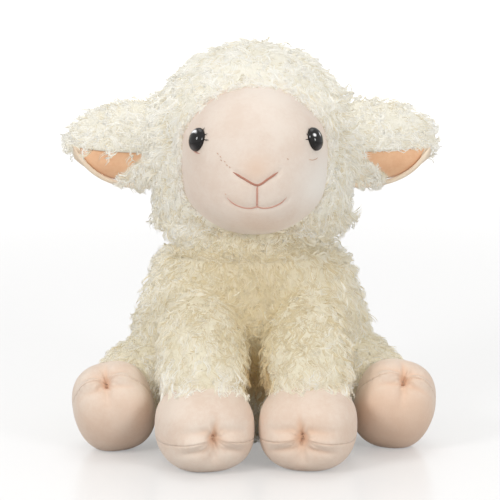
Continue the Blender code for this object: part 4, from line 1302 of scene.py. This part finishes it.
# %% The ears' locks
def ear_locks(side, body, outside, tip, inside):
    """The fleece of one ear's back and tip, and the soft locks in its mouth."""
    rng = np.random.default_rng(90 + side)

    def on_outside(roots, normals):
        """The leaf past the head, above the lining's mouth."""
        out = roots[:, 0] * side - EAR_CENTRE[0]
        return (out > -0.021) & ((roots[:, 2] > EAR_CENTRE[2] - 0.014) | (out < 0.004))

    def in_mouth(roots, normals):
        """The mouth's root, up to a ragged edge."""
        across = roots[:, 0] * side - EAR_CENTRE[0]
        edge = 1.2 * np.maximum(0.199 - roots[:, 2], 0) - 0.006 * rng.random(len(roots))
        return (across < edge) & (across > -0.022) & (normals[:, 1] < 0.1)

    on_leaf = sown(outside, rng, on_outside, depth=EAR_PILE)
    on_tip = sown(tip, rng, lambda roots, normals: roots[:, 2] > 0.2145, depth=EAR_PILE)
    roots, normals = (np.concatenate(pair) for pair in zip(on_leaf, on_tip))
    towards = triples(0.9 * side, -0.1, -0.7 * ramp(roots[:, 2], 0.206, 0.226))
    overhang = ramp(roots[:, 0] * side, 0.112, 0.125) * ramp(-roots[:, 2], -0.222, -0.208)
    coat = {"length": 0.0100 * (1 - 0.5 * overhang), "rise": 0.0026}
    grow(f"{body}_locks", body, roots, normals, towards, (95 + side, 0.9), 100 + side, **coat)

    roots, normals = sown(inside, rng, in_mouth, per_area=1.1e5, depth=0.0)
    towards = np.array((0.5 * side, 0.0, -1.0))
    coat = {"length": 0.0100, "rise": 0.0034, "spread": 0.002}
    comb = (97 + side, 0.7)
    grow(f"{body}_mouth_locks", body, roots, normals, towards, comb, 104 + side, **coat)


for side, word in SIDES:
    skins = ear_cloth(side, word, f"ear_{word}")
    ear_locks(side, f"ear_{word}", *skins)

# %% [markdown]
# ## Toes
# Each foot is two pieces of velour, an upper and a sole, whose seam meets at the toe. A stitch
# through the toe pinches them together, so the cloth gathers there: a hollow, a groove down the
# sole and folds that run out of the hollow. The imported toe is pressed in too, and the cloth never
# goes much deeper than it, or the filling would show.

# %% The toe's relief
def packed_toe(units):
    """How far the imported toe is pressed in: a dimple and a cleft."""
    front = np.maximum(0, -units[:, 1])
    dimple = 0.0060 * hill(np.hypot(units[:, 0], units[:, 2]), 0.26) * front
    return dimple + 0.0040 * hill(units[:, 0], 0.16) * front**2


def toe_relief(units, cleft):
    """How far the cloth is pressed in: a dimple, a cleft below and above it, the seam's groove
    along the middle of two puffed lips, and folds that fade with their distance from the dimple."""
    front = np.maximum(0, -units[:, 1])
    x, z = units[:, 0], units[:, 2]
    off_toe, angle, beside = np.hypot(x, z), np.arctan2(z, x), np.abs(x)
    in_seam = ramp(front, 0.0, 0.35) * ramp(off_toe, 0.12, 0.3) * (1 - 0.7 * ramp(beside, 0.5, 0.9))
    lip = ramp(beside, 0.06, 0.2) * (1 - ramp(beside, 0.36, 0.8))
    below = ramp(-z, 0.0, 0.12) * (1 - ramp(-z, 0.35, 0.6 + cleft))
    above = ramp(z, 0.0, 0.10) * (1 - ramp(z, 0.22, 0.66))
    folds = np.cos(7 * angle + 0.9) + 0.6 * np.cos(11 * angle + 2.1) + 0.4 * np.cos(17 * angle)
    sunk = 0.0050 * hill(off_toe, 0.15) + 0.0028 * hill(off_toe, 0.36)
    sunk += 0.0034 * hill(x, 0.11) * below + 0.0026 * hill(x + 0.12 * z, 0.10) * above
    sunk += lip * (0.0014 * hill(np.abs(z) - 0.24, 0.07) - 0.0042 * hill(z, 0.125))
    sunk = (sunk + 0.00050 * folds * hill(off_toe - 0.24, 0.13)) * front
    gathers = 0.00035 * np.cos(44 * x + 2 * np.sin(9 * x)) * hill(z, 0.08) * ramp(beside, 0.3, 0.5)
    sunk += (0.0005 * hill(z, 0.022) + gathers) * in_seam
    return np.minimum(sunk, packed_toe(units) + 0.0012)


def toe_seam_and_painted_shade(units, cleft, far_side_shade):
    """How much painted shade the velour gets: in the pinch's hollow and the clefts, under the lips
    and towards the bottom of the foot, along the seam's dark line, and on the far side's feet.
    """
    x, z = units[:, 0], units[:, 2]
    front = ramp(-units[:, 1], 0.0, 0.3)
    off_toe, beside = np.hypot(x, z), np.abs(x)
    # Painted shade in the pinch's hollow and its clefts.
    pinch = 0.55 * hill(off_toe, 0.12) + 0.40 * hill(np.hypot(x, (z - 0.10) / 1.3), 0.27)
    clefts = 0.35 * hill(x + 0.12 * z, 0.06) * hill(z - 0.30, 0.22)
    clefts += 0.30 * hill(x, 0.10) * hill(z + 0.22, 0.2)
    seam = 0.20 * hill(z, 0.022) * ramp(off_toe, 0.1, 0.3) * (1 - 0.8 * ramp(beside, 0.5, 0.9))
    # Painted shade under the puffed lips.
    under = 0.25 * hill(np.abs(z) - 0.22, 0.06)
    under = under * ramp(beside, 0.06, 0.2) * (1 - ramp(beside, 0.36, 0.8))
    # Painted shade towards the bottom of the foot, stronger on the hind feet.
    low = (1.5 * cleft - 0.05) * ramp(-z, -0.1, 0.7)
    return np.clip((pinch + clefts + seam + under) * front + low + far_side_shade, 0, 1)


print("deepest at the pinch:", toe_relief(np.array([(0.0, -1.0, 0.0)]), 0.1).round(4), "m")

# %% [markdown]
# ## Feet
# The forefeet stand flat and turn out a little. The hind feet are tipped up, so that their soles
# face forwards. One function makes both, and each half's grid ends exactly on the seam.

# %% The feet
def foot_turn(tip, splay, yaw):
    """The left foot's turn: tipped up, leaned outwards, then turned about Z."""
    ct, st, cs, ss, cy, sy = (f(a) for a in (tip, splay, yaw) for f in (math.cos, math.sin))
    tipped = np.array(((1, 0, 0), (0, ct, st), (0, -st, ct)))
    leaned = np.array(((cs, 0, ss), (0, 1, 0), (-ss, 0, cs)))
    turned = np.array(((cy, -sy, 0), (sy, cy, 0), (0, 0, 1)))
    return turned @ leaned @ tipped


def foot_form(centre, half_sizes, turn, side, seam_dip, cleft):
    """A full ball whose seam dips away from the toe, pressed in there, then turned and set in
    place."""

    def form(units):
        dipped = units.copy()
        dipped[:, 2] -= seam_dip * np.abs(units[:, 0]) ** 1.3 * (1 - units[:, 2] ** 2)
        dipped = unit_rows(dipped)
        full = half_sizes * fuller(dipped, FOOT_FULLNESS)
        local = full - toe_relief(units, cleft)[:, None] * dipped
        places = (centre + local @ turn.T) * (side, 1, 1)
        places[:, 2] = np.maximum(places[:, 2], 0.0)
        return places

    return form


FOREFOOT_TURN = foot_turn(0.0, 0.0, math.radians(-11))
HIND_FOOT_TURN = foot_turn(math.radians(50), math.radians(12), 0.0)
FEET = (
    ("forefoot", "foreleg", FOREFOOT_CENTRE, FOREFOOT_HALF, FOREFOOT_TURN, 0.22, 0.1),
    ("hind_foot", "hind_leg", HIND_FOOT_CENTRE, HIND_FOOT_HALF, HIND_FOOT_TURN, 0.06, 0.3),
)
HALVES = (("upper", -math.pi / 2), ("sole", math.pi / 2))
PINCH = unit_rows(triples(0.0, -1.0, np.linspace(-0.09, 0.09, 9)))
for side, word in SIDES:
    # Feet on the sheep's left side, away from the key lamp, get painted shade all over.
    far_side_shade = 0.2 * (side > 0)
    for kind, limb, centre, half_sizes, turn, dip, cleft in FEET:
        form, body = foot_form(centre, half_sizes, turn, side, dip, cleft), f"{limb}_{word}"
        for half, start in HALVES:
            skin = Skin(form, 72, 64, "Y", closed=False, turn=(start, start + math.pi))
            skin.with_painted_light(toe_seam_and_painted_shade(skin.units, cleft, far_side_shade))
            node = f"{kind}_{half}_{word}"
            cover(f"{node}_velour", shell(skin), body, BLUSH, node, fill=0.9)
        toe = (turn @ np.array((0.0, -1.0, 0.0))) * (side, 1, 1)
        yarn = tube(form(PINCH), toe, 0.0005, sides=8)
        piece(f"{kind}_pinch_{word}", yarn, body, STITCH, f"{kind}_toe_thread_{word}")

# %% [markdown]
# ## Cuffs
# The forelegs' fleece ends in longer tufts that hang over the feet, in bunches with gaps between
# them. They are longest on the outer side of each foot.

# %% The cuffs
for side, word in SIDES:
    body = f"foreleg_{word}"

    def round_foot(roots, normals):
        """A band of the sleeve just outside the foot, ragged by bunches of locks."""
        local = ((roots * (side, 1, 1) - FOREFOOT_CENTRE) @ FOREFOOT_TURN) / FOREFOOT_HALF
        off_foot = (np.abs(local) ** FOOT_FULLNESS).sum(1) ** (1 / FOOT_FULLNESS)
        outer = ramp(roots[:, 0] * side, 0.046, 0.060)
        ragged = 1.12 + 0.08 * swirl(roots, 140 + side, 0.016) + 0.10 * outer
        return (off_foot > 0.99) & (off_foot < ragged) & (roots[:, 0] * side > 0.012)

    roots, normals = sown(sleeves[body], 120 + side, round_foot, per_area=1.1e5)
    outer = ramp(roots[:, 0] * side, 0.046, 0.060)
    coat = {"length": 0.0165 + 0.0065 * outer, "rise": 0.0098 - 0.0035 * outer, "droop": 0.15}
    towards, comb = np.array((0.35 * side, -0.55, -1.0)), (98 + side, 0.8)
    grow(f"{body}_cuff_locks", body, roots, normals, towards, comb, 124 + side, **coat)

# %% [markdown]
# ## Places on the face
# The eyes, the lashes and the embroidery all lie on the velour, so they are given as shares of the
# face's half sizes, across and up, and these functions find the place and the normal there.

# %% Finding places on the face
def on_face(across, up):
    """Places of the face at shares of its half sizes: the full ball is solved for its forward
    part."""
    width = eased(FACE_SHARES, (1 + up) / 2)[0]
    rest = 1 - np.abs(across / width) ** FACE_FULLNESS - np.abs(up) ** FACE_FULLNESS
    forward = np.maximum(rest, 1e-6) ** (1 / FACE_FULLNESS)
    return face_form(unit_rows(triples(across / width, -forward, up)))


def face_path(shares, lift=0.0):
    """(places, normals) on the face, the normals from places a small step to the side and up, and
    the places lifted off the velour."""
    across, up = np.array(shares, float).T
    step = 0.01
    east = on_face(across + step, up) - on_face(across - step, up)
    north = on_face(across, up + step) - on_face(across, up - step)
    normals = unit_rows(np.cross(east, north))
    normals = np.where(normals[:, 1:2] > 0, -normals, normals)
    return on_face(across, up) + lift * normals, normals


print("the middle of the face:", on_face(np.zeros(1), np.zeros(1)).round(4))

# %% [markdown]
# ## Eyes
# The eyes are glossy domes on posts: a lens, domed in front and flat behind. A reflection is
# painted on the dome: the bright window of a lamp and the grey glow of the floor go to its finish.
# The window is a curved band on the right eye, and a spot and a streak on the left one.

# %% The eyes
EYE_HALF_WIDTH, EYE_HALF_HEIGHT, EYE_DOME, EYE_BACK = 0.0066, 0.0079, 0.0050, 0.0022
EYE_ACROSS, EYE_UP = 0.845, 0.375
for side, word in SIDES:
    place, normal = (rows[0] for rows in face_path([(side * EYE_ACROSS, EYE_UP)]))
    turn = np.array(Vector(normal).to_track_quat("Z", "Y").to_matrix())

    def eye_form(units):
        """A lens: a flattened ball whose front is domed and whose back is flat on the cloth."""
        z = units[:, 2]
        depth = np.where(z > 0, EYE_DOME * np.abs(z) ** 0.9, EYE_BACK * z)
        local = triples(EYE_HALF_WIDTH * units[:, 0], EYE_HALF_HEIGHT * units[:, 1], depth)
        return place + local @ turn.T

    dome = Skin(eye_form, 40, 64)
    x, y, z = dome.units.T
    # A painted reflection: the bright window of a lamp.
    if side < 0:
        painted_window = hill(np.hypot(x, y) - 0.60, 0.13) * hill(np.degrees(np.arctan2(y, x)) - 98, 38)
    else:
        painted_window = hill(np.hypot(x + 0.60, y - 0.30), 0.13)
        painted_window += 0.7 * hill(np.hypot(x - 0.08, (y - 0.28) / 2.4), 0.08)
    # A painted reflection of the floor's grey glow on the lower half.
    glow = 0.6 * ramp(-y, 0.25, 0.8) * hill(x, 0.55)
    dome.with_painted_light((np.clip(1.6 * painted_window - 0.1, 0, 1) - glow) * (z > 0))
    piece(f"eye_dome_{word}", closed_skin(dome), "head", EYE, f"eye_{word}")

# %% [markdown]
# ## Lids, lashes and the cheeks' stitches
# A line of yarn lies under each eye, rosier and thicker on the right one, and three short lashes
# stand at its inner corner. A few tiny stitches of blush thread lie on the cheeks.

# %% Lids, lashes and stitches
LIDS = {
    -1: ((198, 285), (0.140, 0.155), 0.0, SOFT_ROSE, 0.00045, 0.05),
    1: ((235, 290), (0.16, 0.17), 0.07, STITCH, 0.00022, 0.03),
}
for side, word in SIDES:
    span, reach, low, yarn, radius, lash_length = LIDS[side]
    eye = np.array((side * EYE_ACROSS, EYE_UP))
    angles = np.radians(np.linspace(*span, 9))
    arc = eye - (0, low) + reach * np.stack([np.cos(angles), np.sin(angles)], 1)
    places, normals = face_path(smooth_path(arc, 30))
    lid = tube(places, normals, radius * tapered(30, 5, 0.1))
    piece(f"lid_{word}", lid, "head", yarn)
    for number, angle in enumerate(np.radians((8, 28, 48))):
        way = np.array((-side * math.cos(angle), math.sin(angle)))
        start = eye + way * (0.116, 0.145)
        line = smooth_path([start + share * lash_length * way for share in (0, 0.5, 1)], 12)
        lash = tube(*face_path(line, 0.0006), 0.00032 * np.linspace(1.4, 0.3, 12), sides=6)
        piece(f"lash_{word}_{number + 1}", lash, "head", EYE)

CHEEK_STITCHES = (
    (-0.56, 0.27), (-0.52, 0.24), (-0.51, 0.20), (-0.46, 0.19),
    (-0.43, 0.15), (-0.39, 0.13), (-0.45, -0.23), (0.44, 0.22),
)
STITCH_HALF = np.array((0.008, -0.006))
for number, middle in enumerate(CHEEK_STITCHES):
    line = smooth_path([middle - STITCH_HALF, middle, middle + STITCH_HALF], 6)
    stitch = tube(*face_path(line), 0.00026, sides=6)
    piece(f"cheek_stitch_{number + 1}", stitch, "head", STITCH)

# %% [markdown]
# ## Embroidery
# The nose, the lip and the mouth are embroidered: yarn that lies on the velour and presses a little
# into it, which the face's own relief allows for.

# %% The embroidery
NOSE = ((-0.345, 0.075), (-0.19, 0.0), (0.0, -0.08), (0.16, 0.0), (0.30, 0.075))
LIP = ((0.0, -0.09), (0.0, -0.25), (0.0, -0.40))
MOUTH = ((-0.43, -0.28), (-0.34, -0.36), (-0.21, -0.415), (-0.09, -0.425), (0.0, -0.405))
MOUTH += tuple((-across, up) for across, up in MOUTH[-2::-1])
for name, table, radius, finish in (
    ("nose", NOSE, 0.00068, ROSE),
    ("lip", LIP, 0.00055, SOFT_ROSE),
    ("mouth", MOUTH, 0.00045, SOFT_ROSE),
):
    places, normals = face_path(smooth_path(table, 90))
    yarn = tube(places, normals, radius * tapered(90, 7, 0.25), 0.75)
    piece(f"{name}_yarn", yarn, "head", finish, f"{name}_thread")

# %% [markdown]
# ## Studio
# The photograph has a white background and a pale floor that mirrors a little. The world is plain
# and weak for the lighting, and white only where the camera or a reflection looks at it. The floor
# glows for the camera alone, more with distance, so it melts into the background.

# %% The world and the floor
SKY_STRENGTH, FLOOR_GLOW, FAR_GLOW = 0.58, 0.31, 0.6
sky = Finish("studio", made=bpy.data.worlds.new("studio"))
bpy.context.scene.world = sky.made
camera_ray = sky.node("ShaderNodeLightPath", out="Is Camera Ray")
seen = camera_ray.maths("MAXIMUM", camera_ray, camera_ray.beside("Is Glossy Ray"))
seen = seen.maths("MAXIMUM", seen, camera_ray.beside("Is Transmission Ray"))
plain = {"Color": (1.0, 0.99, 0.975, 1), "Strength": SKY_STRENGTH}
white = {"Color": (1, 1, 1, 1), "Strength": 1.0}
lights = [sky.node("ShaderNodeBackground", {}, sockets) for sockets in (plain, white)]
both = sky.node("ShaderNodeMixShader", {}, [seen, *lights])
sky.node("ShaderNodeOutputWorld", {}, {"Surface": both})

floor_mesh = bpy.data.meshes.new("floor")
floor_mesh.from_pydata([(-6, -6, 0), (6, -6, 0), (6, 14, 0), (-6, 14, 0)], [], [(0, 1, 2, 3)])
placed("floor", floor_mesh)
pale = Finish("pale_floor")
grey = {"Base Color": (0.62, 0.62, 0.62, 1), "Roughness": 0.25, "Specular IOR Level": 0.3}
shader = pale.node("ShaderNodeBsdfPrincipled", {}, grey)
away = pale.node("ShaderNodeVectorMath", {"operation": "LENGTH"}, [pale.places()], out=1)
strength = pale.node("ShaderNodeLightPath") * (away.between(0.35, 3.0) * FAR_GLOW + FLOOR_GLOW)
glow = pale.node("ShaderNodeEmission", {}, {"Color": (1, 1, 1, 1), "Strength": strength})
both = pale.node("ShaderNodeAddShader", {}, [shader, glow])
pale.node("ShaderNodeOutputMaterial", {}, {"Surface": both})
floor_mesh.materials.append(pale.made)
print("floor:", len(floor_mesh.polygons), "face")

# %% [markdown]
# ## Lamps and camera
# Three soft discs light the sheep: a key from its right, a weaker fill from its left and one above.
# The camera's distance, height and lens come from the photograph, in pixels of its 500 x 500 frame.

# %% Lamps and camera
LOOKED_AT = Vector((0, 0, 0.140))
FRAME, FOCAL, SEEN_AT = 500, 1786, (252, 236.5)
AZIMUTH, ELEVATION, DISTANCE = math.radians(-2), math.radians(10), 1.25


def lamp(name, place, size, power):
    """A disc of light that looks at the middle of the sheep."""
    data = bpy.data.lights.new(name, "AREA")
    data.shape, data.size, data.energy = "DISK", size, power
    made = placed(name, data)
    made.location = place
    made.rotation_euler = (LOOKED_AT - Vector(place)).to_track_quat("-Z", "Y").to_euler()


lamp("key", (-0.98, -0.95, 0.80), 0.42, 7.0)
lamp("fill", (0.78, -1.05, 0.50), 0.34, 4.5)
lamp("top", (0.0, 0.1, 1.4), 0.9, 3.8)

lens = bpy.data.cameras.new("camera")
camera = placed("camera", lens)
level = math.cos(ELEVATION)
back = Vector((math.sin(AZIMUTH) * level, -math.cos(AZIMUTH) * level, math.sin(ELEVATION)))
camera.location = LOOKED_AT + DISTANCE * back
camera.rotation_euler = (-back).to_track_quat("-Z", "Y").to_euler()
lens.sensor_width = 36
lens.lens = FOCAL * lens.sensor_width / FRAME
lens.shift_x = -(SEEN_AT[0] - FRAME / 2) / FRAME
lens.shift_y = (SEEN_AT[1] - FRAME / 2) / FRAME
bpy.context.scene.camera = camera
bpy.context.scene.view_settings.view_transform = "Standard"
print("lens:", round(lens.lens, 2), "mm")

# %% [markdown]
# ## Measure and finish
# The number of locks and triangles in the fleece is printed. The dressed sheep may stand only a
# little proud of the imported one.

# %% Measure and finish
print("fleece:", totals)
